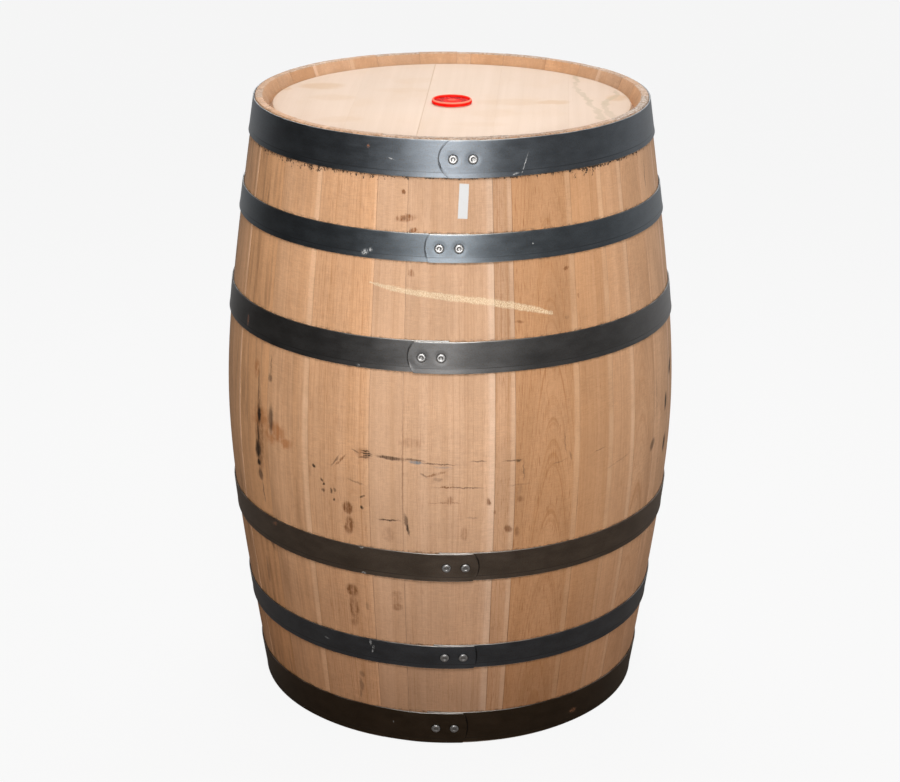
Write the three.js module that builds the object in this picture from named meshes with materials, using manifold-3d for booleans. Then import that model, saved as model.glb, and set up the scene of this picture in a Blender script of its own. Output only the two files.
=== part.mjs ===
// A 225 litre oak wine barrel standing on end.
// 29 bent staves, two heads of five tongued and grooved boards each, six riveted
// steel hoops, a plastic bung in the top head and a blank paper label.
// Millimetres, +Z up, origin at the centre of the bottom end. -Y is the front,
// and an angle is measured from the front towards +X.
import * as THREE from "three";
import { mergeVertices } from "three/addons/utils/BufferGeometryUtils.js";
import Module from "manifold-3d";

const wasm = await Module();
wasm.setup();

// Body
const HEIGHT = 950; // length of every stave
const BELLY_RADIUS = 350; // outside of the staves at mid-height
const END_RADIUS = 297; // outside of the staves at both ends
const BELLY_ROUNDNESS = 2.6; // 0 is a plain parabola, more is straighter towards the ends
const STAVE_THICKNESS = 27;
const STAVE_STEPS = 10; // facets along a stave
const FACET = 5; // widest facet round the barrel, degrees
const GAP = 0.3; // between touching pieces
const WELD = 1e-3; // vertices closer than this are one

// Chime, the end of the staves above the head, and the croze groove that holds the head
const RIM_WIDTH = 11; // flat ring at the very end
const CHIME_INNER_RADIUS = 276; // foot of the bevel inside the rim, where the groove starts
const CHIME_DEPTH = 23; // from the stave ends down to the groove
const CROZE_DEPTH = 4.6; // groove depth below the foot of the bevel
const CROZE_SLOPE = 1.2; // height of each sloping groove wall
const TONGUE_THICKNESS = 6; // the head's thinned edge, in the groove

// Heads
const HEAD_RECESS = 15; // stave ends to the head's outer face
const HEAD_THICKNESS = 25;
const HEAD_RADIUS = 280; // rim of the tongue
const HEAD_SHOULDER = 4; // width of the flat on the tongue's outer side
const HEAD_BEVEL = 5.5; // width of the bevel round the outer face
const HEAD_INNER_SHOULDER = 6.6; // width of the flat on the tongue's inner side
const HEAD_INNER_BEVEL = 2.4;
const HEAD_FACETS = 60;
const BOARD_JOINTS = [-147.4, -39.4, 68.6, 176.6]; // across the boards, from the centre
const TOP_HEAD_TURN = 2.7; // degrees, boards off the front-to-back line
const BOTTOM_HEAD_TURN = 24;
const JOINT_TONGUE = 7; // tongue and groove between boards, thickness
const JOINT_REACH = 6; // and how far the tongue stands out
const CUT_MARGIN = 5; // blanks and drills run this far past the wood

// Joints between staves, degrees round the barrel, one turn from the left of the front
const STAVE_JOINTS = [
  -66, -51, -36.5, -19.5, -11.2, 10.8, 15.8, 32.9, 43.7, 52.2,
  62.6, 76, 85.2, 100.8, 111.8, 125.6, 134.2, 147.8, 162.8, 173.8,
  178.4, 190.8, 205.4, 215.6, 231, 243, 252.4, 268.4, 279.8,
];

// Hoops, from the top down. tail is the angle where the outer end stops, and way
// is the side that it points to: -1 left, +1 right.
const HOOPS = [
  { name: "top_head_hoop", top: 948, bottom: 896, tail: -3.2, way: -1 },
  { name: "top_quarter_hoop", top: 818.5, bottom: 778.5, tail: -6.3, way: -1 },
  { name: "top_belly_hoop", top: 666.5, bottom: 620.5, tail: -10, way: -1 },
  { name: "bottom_belly_hoop", top: 341, bottom: 295, tail: 7.2, way: 1 },
  { name: "bottom_quarter_hoop", top: 181, bottom: 141, tail: 7.3, way: 1 },
  { name: "bottom_head_hoop", top: 58, bottom: 3, tail: 5.4, way: 1 },
];
const HOOP_THICKNESS = 1.8;
const HOOP_CLEARANCE = 0.65; // lets the hoop's flat facets pass over the staves' edges
const HOOP_FACETS = 69; // in the single stretch between the two ends of the lap
const LAP_FACETS = 3;
const RIVET_EDGE = 19; // tail of the hoop to its first rivet
const RIVET_PITCH = 27.5;
const RIVET_SHANK_RADIUS = 3;
const RIVET_HEAD_RADIUS = 6.7;
const RIVET_HEAD_HEIGHT = 2.6;
const RIVET_EDGE_FALL = 0.4; // how far the head's edge leans in at half its height
const RIVET_CROWN_RADIUS = 4; // start of the nearly flat crown
const RIVET_CROWN_FALL = 0.2;
const RIVET_FACETS = 8;
const RIVET_SEAT = 0.45; // head to hoop

// Bung, a flanged plastic plug in a round hole just in front of the head's centre
const BUNG_Y = -13;
const BUNG_HOLE_RADIUS = 25;
const FLANGE_RADIUS = 30.4;
const FLANGE_HEIGHT = 6.5;
const BUNG_LENGTH = 34; // below the flange
const BUNG_TIP_RADIUS = 21.5;
const BUNG_TIP_CHAMFER = 2;
const FLANGE_CHAMFER = 1.2;
const DISH_RADIUS = 26.6;
const DISH_DEPTH = 3.4;
const BOSS_RADIUS = 6;
const BOSS_HEIGHT = 1.6;
const DISH_WALL_SLOPE = 1; // widening of the dish and narrowing of the boss, bottom to top
const BUNG_FACETS = 20;

// Label on the front, just below the top hoop
const LABEL = { width: 13.5, height: 48.5, thickness: 0.3, angle: 3.15, z: 863.5, tilt: 3 };

const toRadians = THREE.MathUtils.degToRad;
const barrel = new THREE.Group();

// Outside radius of the staves at a height: a hyperbola, round at the belly and
// nearly straight towards both ends.
function outerRadius(z) {
  const reach = (Math.abs(z - HEIGHT / 2) / (HEIGHT / 2)) * BELLY_ROUNDNESS;
  const share = (Math.hypot(1, reach) - 1) / (Math.hypot(1, BELLY_ROUNDNESS) - 1);
  return BELLY_RADIUS - (BELLY_RADIUS - END_RADIUS) * share;
}

// Change of that radius for each millimetre of height.
function outerSlope(z) {
  return (outerRadius(z + 1) - outerRadius(z - 1)) / 2;
}

// A closed geometry as a solid that can be cut, and a solid back as a geometry.
function toSolid(geometry) {
  const bare = new THREE.BufferGeometry();
  bare.setAttribute("position", geometry.getAttribute("position"));
  bare.setIndex(geometry.index);
  const welded = mergeVertices(bare, WELD);
  return new wasm.Manifold(
    new wasm.Mesh({
      numProp: 3,
      vertProperties: welded.attributes.position.array,
      triVerts: new Uint32Array(welded.index.array),
    }),
  );
}

function toGeometry(solid) {
  const cut = solid.getMesh();
  const geometry = new THREE.BufferGeometry();
  geometry.setAttribute("position", new THREE.BufferAttribute(cut.vertProperties, 3));
  geometry.setIndex(new THREE.BufferAttribute(cut.triVerts, 1));
  geometry.computeVertexNormals();
  return geometry;
}

function addPiece(name, geometry, material) {
  const piece = new THREE.Mesh(geometry, material);
  piece.name = name;
  barrel.add(piece);
  return piece;
}

// Oak between a pale and a reddish board, a little different for each piece.
function oak(index) {
  const pale = new THREE.Color(0.72, 0.53, 0.37);
  const red = new THREE.Color(0.6, 0.4, 0.25);
  const share = (index * 0.382) % 1;
  return new THREE.MeshStandardMaterial({
    color: pale.lerp(red, share),
    roughness: 0.75,
    metalness: 0,
  });
}

function hoopSteel() {
  return new THREE.MeshStandardMaterial({ color: 0x2b2d31, roughness: 0.4, metalness: 0.9 });
}

function rivetSteel() {
  return new THREE.MeshStandardMaterial({ color: 0xb9bab8, roughness: 0.35, metalness: 0.9 });
}

// The groove's floor: the distances of its two edges from the stave's end, and its radius.
const croze = {
  near: CHIME_DEPTH + CROZE_SLOPE,
  far: CHIME_DEPTH + CROZE_SLOPE + TONGUE_THICKNESS + 2 * GAP,
  floor: CHIME_INNER_RADIUS + CROZE_DEPTH,
};

// Inside of a stave's end, from the rim towards the belly: the bevel of the chime,
// then the groove. Radius and distance from the stave's end.
function chimePoints() {
  const lip = croze.far + CROZE_SLOPE;
  return [
    [END_RADIUS - RIM_WIDTH, 0],
    [CHIME_INNER_RADIUS, CHIME_DEPTH],
    [croze.floor, croze.near],
    [croze.floor, croze.far],
    [outerRadius(HEIGHT - lip) - STAVE_THICKNESS, lip],
  ];
}

// The outline that every stave shares, radius against height: up the outside,
// then down the inside.
function staveOutline() {
  const outline = [];
  for (let step = 0; step <= STAVE_STEPS; step += 1) {
    const z = (HEIGHT * step) / STAVE_STEPS;
    outline.push(new THREE.Vector2(outerRadius(z), z));
  }
  for (const [radius, depth] of chimePoints()) {
    outline.push(new THREE.Vector2(radius, HEIGHT - depth));
  }
  for (let step = STAVE_STEPS - 1; step >= 1; step -= 1) {
    const z = (HEIGHT * step) / STAVE_STEPS;
    outline.push(new THREE.Vector2(outerRadius(z) - STAVE_THICKNESS, z));
  }
  for (const [radius, depth] of chimePoints().reverse()) {
    outline.push(new THREE.Vector2(radius, depth));
  }
  return outline;
}

// One stave: the outline turned through the stave's share of the circle, with a
// flat face at each joint. The joints lie in planes through the barrel's axis.
function staveGeometry(outline, from, to) {
  const side = toRadians(from) + GAP / 2 / END_RADIUS;
  const sweep = toRadians(to - from) - GAP / END_RADIUS;
  const facets = Math.ceil((to - from) / FACET);
  const closed = [...outline, outline[0].clone()];
  const turned = new THREE.LatheGeometry(closed, facets, side, sweep);
  const index = [...turned.index.array];
  const lastRing = facets * closed.length;
  for (const [a, b, c] of THREE.ShapeUtils.triangulateShape([...outline], [])) {
    index.push(a, b, c);
    index.push(lastRing + a, lastRing + c, lastRing + b);
  }
  turned.setIndex(index);
  return turned.rotateX(Math.PI / 2);
}

function addStaves() {
  const outline = staveOutline();
  STAVE_JOINTS.forEach((from, index) => {
    const next = STAVE_JOINTS[index + 1];
    const to = next === undefined ? STAVE_JOINTS[0] + 360 : next;
    const name = `stave_${String(index + 1).padStart(2, "0")}`;
    addPiece(name, staveGeometry(outline, from, to), oak(index));
  });
}

// A whole head turned to its round shape, outer face up at z 0: a bevel round the
// outer face, a tongue in the middle of the edge, and a bevel inside.
function headDisc() {
  const shoulder = HEAD_RADIUS - HEAD_SHOULDER;
  const tongueTop = HEAD_RECESS - croze.near - GAP;
  const tongueFoot = tongueTop - TONGUE_THICKNESS;
  const innerShoulder = HEAD_RADIUS - HEAD_INNER_SHOULDER;
  const profile = [
    [0, -HEAD_THICKNESS],
    [innerShoulder - HEAD_INNER_BEVEL, -HEAD_THICKNESS],
    [innerShoulder, tongueFoot],
    [HEAD_RADIUS, tongueFoot],
    [HEAD_RADIUS, tongueTop],
    [shoulder, tongueTop],
    [shoulder - HEAD_BEVEL, 0],
    [0, 0],
  ].map(([radius, z]) => new THREE.Vector2(radius, z));
  return toSolid(new THREE.LatheGeometry(profile, HEAD_FACETS).rotateX(Math.PI / 2));
}

// One board before the head is turned: a plank with a groove on its left edge and
// a tongue on its right edge, where it has neighbours.
function plank(left, right, grooved, tongued) {
  const middle = -HEAD_THICKNESS / 2;
  const half = JOINT_TONGUE / 2;
  const outline = new THREE.Shape();
  outline.moveTo(left, CUT_MARGIN);
  if (grooved) {
    outline.lineTo(left, middle + half + GAP);
    outline.lineTo(left + JOINT_REACH + GAP, middle + half + GAP);
    outline.lineTo(left + JOINT_REACH + GAP, middle - half - GAP);
    outline.lineTo(left, middle - half - GAP);
  }
  outline.lineTo(left, -HEAD_THICKNESS - CUT_MARGIN);
  outline.lineTo(right, -HEAD_THICKNESS - CUT_MARGIN);
  if (tongued) {
    outline.lineTo(right, middle - half);
    outline.lineTo(right + JOINT_REACH, middle - half);
    outline.lineTo(right + JOINT_REACH, middle + half);
    outline.lineTo(right, middle + half);
  }
  outline.lineTo(right, CUT_MARGIN);
  const length = 2 * (HEAD_RADIUS + CUT_MARGIN);
  const geometry = new THREE.ExtrudeGeometry(outline, { depth: length, bevelEnabled: false });
  geometry.translate(0, 0, -length / 2);
  return toSolid(geometry.rotateX(Math.PI / 2));
}

function bungHole() {
  const profile = [
    [0, -HEAD_THICKNESS - CUT_MARGIN],
    [BUNG_HOLE_RADIUS, -HEAD_THICKNESS - CUT_MARGIN],
    [BUNG_HOLE_RADIUS, CUT_MARGIN],
    [0, CUT_MARGIN],
  ].map(([radius, z]) => new THREE.Vector2(radius, z));
  const drill = new THREE.LatheGeometry(profile, BUNG_FACETS).rotateX(Math.PI / 2);
  return toSolid(drill.translate(0, BUNG_Y, 0));
}

// The boards of one head, outer face up. The hole is drilled through the board
// that the head's centre is in.
function addHead(prefix, turn, drilled, place) {
  const disc = headDisc();
  const reach = HEAD_RADIUS + CUT_MARGIN;
  const edges = [-reach, ...BOARD_JOINTS, reach];
  for (let board = 0; board + 1 < edges.length; board += 1) {
    const left = edges[board] + GAP / 2;
    const right = edges[board + 1] - GAP / 2;
    const grooved = board > 0;
    const tongued = board + 2 < edges.length;
    let wood = plank(left, right, grooved, tongued).intersect(disc).rotate([0, 0, turn]);
    if (drilled && left < 0 && right > 0) {
      wood = wood.subtract(bungHole());
    }
    const piece = addPiece(`${prefix}_head_board_${board + 1}`, toGeometry(wood), oak(board * 3));
    place(piece);
  }
}

function addHeads() {
  addHead("top", -TOP_HEAD_TURN, true, (piece) => {
    piece.position.z = HEIGHT - HEAD_RECESS;
  });
  addHead("bottom", BOTTOM_HEAD_TURN, false, (piece) => {
    piece.rotation.x = Math.PI;
    piece.position.z = HEAD_RECESS;
  });
}

// Angles and radial lifts along a hoop, from its covered end, once round, and over
// itself to the tail. Both ends of the lap share their angles, so the two layers
// stay parallel. The strip steps down onto the staves just after the lap.
function hoopPath(hoop, radius) {
  const lap = (2 * RIVET_EDGE + RIVET_PITCH) / radius;
  const tail = toRadians(hoop.tail);
  const path = [];
  for (let step = 0; step <= LAP_FACETS; step += 1) {
    path.push({ turn: tail + (hoop.way * lap * (step - LAP_FACETS)) / LAP_FACETS, lift: 0 });
  }
  const single = 2 * Math.PI - lap;
  for (let step = 1; step < HOOP_FACETS; step += 1) {
    path.push({ turn: tail + (hoop.way * single * step) / HOOP_FACETS, lift: 0 });
  }
  for (let step = 0; step <= LAP_FACETS; step += 1) {
    const turn = tail + hoop.way * (2 * Math.PI + (lap * (step - LAP_FACETS)) / LAP_FACETS);
    path.push({ turn, lift: HOOP_THICKNESS + GAP });
  }
  return path;
}

// The hoop's plan, a long thin strip curled once round, as a flat shape.
function hoopPlan(hoop, radius) {
  const path = hoopPath(hoop, radius);
  const at = ({ turn, lift }, extra) => {
    const reach = radius + lift + extra;
    return new THREE.Vector2(reach * Math.sin(turn), -reach * Math.cos(turn));
  };
  const inside = path.map((stop) => at(stop, 0));
  const outside = path.map((stop) => at(stop, HOOP_THICKNESS));
  return new THREE.Shape([...inside, ...outside.reverse()]);
}

// Moves each vertex in or out, so that the hoop is a cone that follows the staves.
function flare(geometry, slope, middle) {
  const position = geometry.getAttribute("position");
  const point = new THREE.Vector3();
  for (let vertex = 0; vertex < position.count; vertex += 1) {
    point.fromBufferAttribute(position, vertex);
    const radius = Math.hypot(point.x, point.y);
    const scale = (radius + slope * (point.z - middle)) / radius;
    position.setXYZ(vertex, point.x * scale, point.y * scale, point.z);
  }
  return geometry;
}

// A rivet along +Z, with z 0 at the hoop's outer face: a shank through both layers
// and a low domed head.
function rivetOutline() {
  const depth = 2 * HOOP_THICKNESS + GAP;
  return [
    [0, -depth],
    [RIVET_SHANK_RADIUS, -depth],
    [RIVET_SHANK_RADIUS, RIVET_SEAT],
    [RIVET_HEAD_RADIUS, RIVET_SEAT],
    [RIVET_HEAD_RADIUS - RIVET_EDGE_FALL, RIVET_SEAT + RIVET_HEAD_HEIGHT / 2],
    [RIVET_CROWN_RADIUS, RIVET_SEAT + RIVET_HEAD_HEIGHT - RIVET_CROWN_FALL],
    [0, RIVET_SEAT + RIVET_HEAD_HEIGHT],
  ];
}

function rivetHoleOutline() {
  const radius = RIVET_SHANK_RADIUS + GAP;
  const depth = 2 * HOOP_THICKNESS + GAP + CUT_MARGIN;
  return [
    [0, -depth],
    [radius, -depth],
    [radius, CUT_MARGIN],
    [0, CUT_MARGIN],
  ];
}

// Turns an outline about +Z, then lays that axis square to the hoop at a rivet.
function atRivet(outline, turn, radius, slope, z) {
  const profile = outline.map(([r, height]) => new THREE.Vector2(r, height));
  const geometry = new THREE.LatheGeometry(profile, RIVET_FACETS).rotateX(Math.PI / 2);
  const lean = Math.atan(-slope);
  geometry.rotateX(Math.PI / 2 - lean);
  geometry.translate(0, -radius, 0);
  return geometry.rotateZ(turn).translate(0, 0, z);
}

function addHoop(hoop) {
  const middle = (hoop.top + hoop.bottom) / 2;
  const slope = outerSlope(middle);
  const radius = outerRadius(middle) + HOOP_CLEARANCE;
  const height = hoop.top - hoop.bottom;
  const plan = hoopPlan(hoop, radius);
  const strip = new THREE.ExtrudeGeometry(plan, { depth: height, bevelEnabled: false });
  strip.translate(0, 0, hoop.bottom);
  let steel = toSolid(flare(strip, slope, middle));
  const face = radius + 2 * HOOP_THICKNESS + GAP;
  ["a", "b"].forEach((letter, order) => {
    const along = (RIVET_EDGE + order * RIVET_PITCH) / radius;
    const turn = toRadians(hoop.tail) - hoop.way * along;
    steel = steel.subtract(toSolid(atRivet(rivetHoleOutline(), turn, face, slope, middle)));
    const rivet = atRivet(rivetOutline(), turn, face, slope, middle);
    addPiece(`${hoop.name}_rivet_${letter}`, rivet, rivetSteel());
  });
  addPiece(hoop.name, toGeometry(steel), hoopSteel());
}

// The bung: a tapered plug, a flange that rests on the head, a shallow dish inside
// the flange's rim and a low boss in the middle of the dish.
function addBung() {
  const dish = FLANGE_HEIGHT - DISH_DEPTH;
  const profile = [
    [0, -BUNG_LENGTH],
    [BUNG_TIP_RADIUS - BUNG_TIP_CHAMFER, -BUNG_LENGTH],
    [BUNG_TIP_RADIUS, -BUNG_LENGTH + BUNG_TIP_CHAMFER],
    [BUNG_HOLE_RADIUS - 2 * GAP, -GAP],
    [BUNG_HOLE_RADIUS - 2 * GAP, 0],
    [FLANGE_RADIUS, 0],
    [FLANGE_RADIUS, FLANGE_HEIGHT - FLANGE_CHAMFER],
    [FLANGE_RADIUS - FLANGE_CHAMFER, FLANGE_HEIGHT],
    [DISH_RADIUS + DISH_WALL_SLOPE, FLANGE_HEIGHT],
    [DISH_RADIUS, dish],
    [BOSS_RADIUS + DISH_WALL_SLOPE, dish],
    [BOSS_RADIUS, dish + BOSS_HEIGHT],
    [0, dish + BOSS_HEIGHT],
  ].map(([radius, z]) => new THREE.Vector2(radius, z));
  const geometry = new THREE.LatheGeometry(profile, BUNG_FACETS).rotateX(Math.PI / 2);
  const red = new THREE.MeshStandardMaterial({ color: 0xe5180c, roughness: 0.3, metalness: 0 });
  const bung = addPiece("bung", geometry, red);
  bung.position.set(0, BUNG_Y, HEIGHT - HEAD_RECESS + GAP);
}

// The label lies against the stave's slope, a little off upright.
function addLabel() {
  const slab = new THREE.BoxGeometry(LABEL.width, LABEL.thickness, LABEL.height);
  const paper = new THREE.MeshStandardMaterial({ color: 0xe9e7e2, roughness: 0.8, metalness: 0 });
  const lean = Math.atan(-outerSlope(LABEL.z));
  const reach = outerRadius(LABEL.z) + GAP + LABEL.thickness / 2;
  slab.rotateY(toRadians(LABEL.tilt));
  slab.rotateX(-lean);
  slab.translate(0, -reach, LABEL.z);
  slab.rotateZ(toRadians(LABEL.angle));
  addPiece("paper_label", slab, paper);
}

addStaves();
addHeads();
HOOPS.forEach(addHoop);
addBung();
addLabel();

export default barrel;
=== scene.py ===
"""A 225 litre oak wine barrel standing on end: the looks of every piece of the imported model.

Metres, +Z up, origin at the centre of the bottom end, -Y the front. An angle is measured
round the barrel from the front towards +X.
"""

import math

import bmesh
import bpy
import numpy as np
from mathutils import Matrix, Vector
from mathutils.geometry import delaunay_2d_cdt


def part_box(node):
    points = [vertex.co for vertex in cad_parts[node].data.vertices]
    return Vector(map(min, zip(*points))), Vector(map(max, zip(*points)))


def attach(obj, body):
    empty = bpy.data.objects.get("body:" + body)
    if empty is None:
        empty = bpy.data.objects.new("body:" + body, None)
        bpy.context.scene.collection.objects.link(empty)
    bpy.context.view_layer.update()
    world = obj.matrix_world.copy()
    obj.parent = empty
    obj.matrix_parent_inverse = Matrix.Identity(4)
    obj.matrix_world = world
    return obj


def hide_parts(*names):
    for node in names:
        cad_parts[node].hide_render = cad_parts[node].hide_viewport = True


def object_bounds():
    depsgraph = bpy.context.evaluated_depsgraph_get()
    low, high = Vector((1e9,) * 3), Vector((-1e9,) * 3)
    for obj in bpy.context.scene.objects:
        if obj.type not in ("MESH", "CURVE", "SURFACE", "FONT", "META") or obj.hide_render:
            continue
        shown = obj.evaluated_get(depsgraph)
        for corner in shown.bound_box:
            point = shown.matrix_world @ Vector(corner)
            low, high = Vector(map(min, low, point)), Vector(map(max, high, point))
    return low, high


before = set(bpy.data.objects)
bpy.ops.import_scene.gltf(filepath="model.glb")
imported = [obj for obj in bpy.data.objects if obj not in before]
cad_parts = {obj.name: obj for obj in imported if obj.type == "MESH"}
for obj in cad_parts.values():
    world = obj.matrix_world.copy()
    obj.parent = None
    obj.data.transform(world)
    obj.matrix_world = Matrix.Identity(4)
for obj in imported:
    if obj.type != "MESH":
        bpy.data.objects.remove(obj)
cad_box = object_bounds()
rng = np.random.default_rng(225)

MM = 0.001
HEIGHT = 0.950
BELLY_RADIUS = 0.3497
END_RADIUS = 0.297
ROUNDNESS = 2.6
STAVE_THICKNESS = 0.027
RIM_WIDTH = 0.011
CHIME_INNER = 0.276
CHIME_DEPTH = 0.023
CROZE_DEPTH = 0.0046
CROZE_SLOPE = 0.0012
CROZE_WIDTH = 0.0066
TIGHT = 0.0003  # radians by which the fine staves close the clearance between the CAD ones


# ---------------------------------------------------------------- shape helpers


def outer_radius(z):
    """Outside radius of the staves at a height."""
    reach = np.abs(z - HEIGHT / 2) / (HEIGHT / 2) * ROUNDNESS
    share = (np.hypot(1, reach) - 1) / (math.hypot(1, ROUNDNESS) - 1)
    return BELLY_RADIUS - (BELLY_RADIUS - END_RADIUS) * share


def outer_slope(z):
    return float(outer_radius(z + MM) - outer_radius(z - MM)) / (2 * MM)


def round_barrel(radius, angle, z):
    """Points from radius, angle (radians) and height, as rows of x, y, z."""
    radius, angle, z = np.broadcast_arrays(radius, angle, z)
    return np.stack([radius * np.sin(angle), -radius * np.cos(angle), z], -1)


def node_angles(node):
    """Lowest and highest angle of a CAD node, in radians round the barrel."""
    points = np.array([v.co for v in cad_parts[node].data.vertices])
    angle = np.arctan2(points[:, 0], -points[:, 1])
    middle = math.atan2(np.sin(angle).mean(), np.cos(angle).mean())
    offset = (angle - middle + math.pi) % (2 * math.pi) - math.pi
    return middle + offset.min() - TIGHT, middle + offset.max() + TIGHT


def wall(rings, count, first=0, turned=False):
    """Quads between closed rings of points. Turned, they face the other way."""
    faces = []
    for here in range(first, first + (rings - 1) * count, count):
        there = here + count
        for k in range(count):
            n = (k + 1) % count
            if turned:
                faces.append((here + k, here + n, there + n, there + k))
            else:
                faces.append((here + k, there + k, there + n, here + n))
    return faces


def caps(rings, count):
    """A polygon on the first ring and one on the last."""
    last = (rings - 1) * count
    return [tuple(range(count)), tuple(reversed(range(last, last + count)))]


def lathe(profile, steps, wobble=0.0, phase=0.0):
    """Points and faces turned from a profile (radius, height) that starts and ends on the axis."""
    around = np.linspace(0, 2 * math.pi, steps, endpoint=False)
    wave = 1 + wobble * np.sin(around * 3 + phase)
    rings = []
    for radius, height in profile[1:-1]:
        ring = radius * wave * np.array([np.cos(around), np.sin(around)])
        rings.append(np.column_stack([ring.T, np.full(steps, height)]))
    points = np.concatenate(rings + [[[0, 0, profile[0][1]], [0, 0, profile[-1][1]]]])
    foot, tip = len(points) - 2, len(points) - 1
    last = (len(rings) - 1) * steps
    faces = wall(len(rings), steps, turned=True)
    for k in range(steps):
        n = (k + 1) % steps
        faces += [(foot, n, k), (last + k, last + n, tip)]
    return points, faces


def add_piece(name, points, faces, node, material, coordinates=None, sharp=38):
    """A mesh piece that stands for a CAD node and rides on that node's body."""
    mesh = bpy.data.meshes.new(name)
    mesh.from_pydata(np.asarray(points).reshape(-1, 3).tolist(), [], faces)
    if coordinates is not None:
        layer = mesh.attributes.new("grain", "FLOAT_VECTOR", "POINT")
        layer.data.foreach_set("vector", np.asarray(coordinates, np.float32).ravel())
    mesh.validate()
    mesh.shade_smooth()
    mesh.set_sharp_from_angle(angle=math.radians(sharp))
    mesh.materials.append(material)
    piece = bpy.data.objects.new(name, mesh)
    bpy.context.scene.collection.objects.link(piece)
    body = "bung" if node == "bung" else "barrel"
    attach(piece, body)
    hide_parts(node)
    return piece


# ---------------------------------------------------------------- shader helpers


class Shader:
    """One material, its nodes and its colour so far. Most methods give back an output socket."""

    def __init__(self, name):
        self.material = bpy.data.materials.new(name)
        self.material.use_nodes = True
        self.tree = self.material.node_tree
        self.surface = self.tree.nodes["Principled BSDF"]
        self.colour = None

    def feed(self, socket, value):
        if isinstance(value, bpy.types.NodeSocket):
            self.tree.links.new(value, socket)
        else:
            socket.default_value = value

    def node(self, kind, inputs=None, output=0, **settings):
        made = self.tree.nodes.new("ShaderNode" + kind)
        for key, value in settings.items():
            setattr(made, key, value)
        for key, value in (inputs or {}).items():
            self.feed(made.inputs[key], value)
        return made.outputs[output]

    def grain(self):
        return self.node("Attribute", output=1, attribute_name="grain")

    def position(self):
        return self.node("TexCoord", output=3)

    def split(self, vector):
        made = self.tree.nodes.new("ShaderNodeSeparateXYZ")
        self.feed(made.inputs[0], vector)
        return made.outputs

    def join(self, x, y, z):
        return self.node("CombineXYZ", {0: x, 1: y, 2: z})

    def math(self, operation, a, b=0.0, clamp=False):
        return self.node("Math", {0: a, 1: b}, operation=operation, use_clamp=clamp)

    def times(self, result, *others):
        for other in others:
            result = self.math("MULTIPLY", result, other)
        return result

    def plus(self, result, *others):
        for other in others:
            result = self.math("ADD", result, other)
        return result

    def minus(self, a, b):
        return self.math("SUBTRACT", a, b)

    def apart(self, a, b):
        """The distance between two values."""
        return self.math("ABSOLUTE", self.minus(a, b))

    def most(self, a, b):
        return self.math("MAXIMUM", a, b)

    def length(self, vector):
        return self.node("VectorMath", {0: vector}, 1, operation="LENGTH")

    def off_axis(self, xyz):
        """Distance from the upright axis."""
        return self.length(self.join(xyz[0], xyz[1], 0.0))

    def arc(self, xyz):
        """Length round the belly from the front towards +X."""
        return self.times(self.math("ARCTAN2", xyz[0], self.times(xyz[1], -1)), BELLY_RADIUS)

    def scaled(self, vector, scale, offset=(0, 0, 0)):
        inputs = {0: vector, 1: scale, 2: offset}
        return self.node("VectorMath", inputs, operation="MULTIPLY_ADD")

    def noise(self, vector, scale, detail, roughness, seed=(0, 0, 0), output=0):
        inputs = {"Vector": self.scaled(vector, scale, seed), "Scale": 1.0, "Detail": detail}
        inputs["Roughness"] = roughness
        return self.node("TexNoise", inputs, output)

    def stirred(self, vector, scale, amount):
        """The vector moved about by a noise, by up to half the amount each way."""
        wobble = self.noise(self.position(), scale, 4, 0.65, output=1)
        shift = self.scaled(wobble, amount, tuple(-a / 2 for a in amount))
        return self.node("VectorMath", {0: vector, 1: shift}, operation="ADD")

    def span(self, value, low, high, to_low=0.0, to_high=1.0):
        """A smooth step from one value to another. Past its two ends it stays level."""
        inputs = {0: value, 1: low, 2: high, 3: to_low, 4: to_high}
        return self.node("MapRange", inputs, interpolation_type="SMOOTHSTEP")

    def ellipse(self, place, centre, rotation, scale, edge, soft):
        """1 inside an ellipse, falling to 0 at its edge."""
        inputs = {"Vector": place, "Location": centre, "Rotation": rotation, "Scale": scale}
        inside = self.node("Mapping", inputs, vector_type="TEXTURE")
        return self.span(self.length(inside), edge, soft)

    def mix(self, factor, a, b, blend="MIX"):
        settings = {"data_type": "RGBA", "blend_type": blend, "clamp_factor": True}
        return self.node("Mix", {0: factor, 6: a, 7: b}, 2, **settings)

    def paint(self, mask, colour):
        """Covers the colour so far where the mask is high."""
        self.colour = self.mix(mask, self.colour, colour)

    def coat(self, value, low, high, strength, colour):
        """Paints where a value is high in a span."""
        self.paint(self.times(self.span(value, low, high), strength), colour)

    def shade(self, factor):
        """Multiplies the colour so far by a brightness."""
        self.colour = self.mix(1.0, self.colour, self.join(factor, factor, factor), "MULTIPLY")

    def bump(self, height, distance, strength):
        return self.node("Bump", {"Height": height, "Distance": distance, "Strength": strength})

    def finish(self, **sockets):
        """Feeds the surface and gives back the material."""
        self.feed(self.surface.inputs["Base Color"], self.colour)
        for name, value in sockets.items():
            self.feed(self.surface.inputs[name.replace("_", " ")], value)
        return self.material


def rgb(red, green, blue):
    return (red, green, blue, 1.0)


def tint(base, red, green, blue):
    """A colour made from a base by three factors, with no part above 1."""
    return rgb(*[min(1.0, c * k) for c, k in zip(base, (red, green, blue))])


# ---------------------------------------------------------------- marks on the staves

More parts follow.
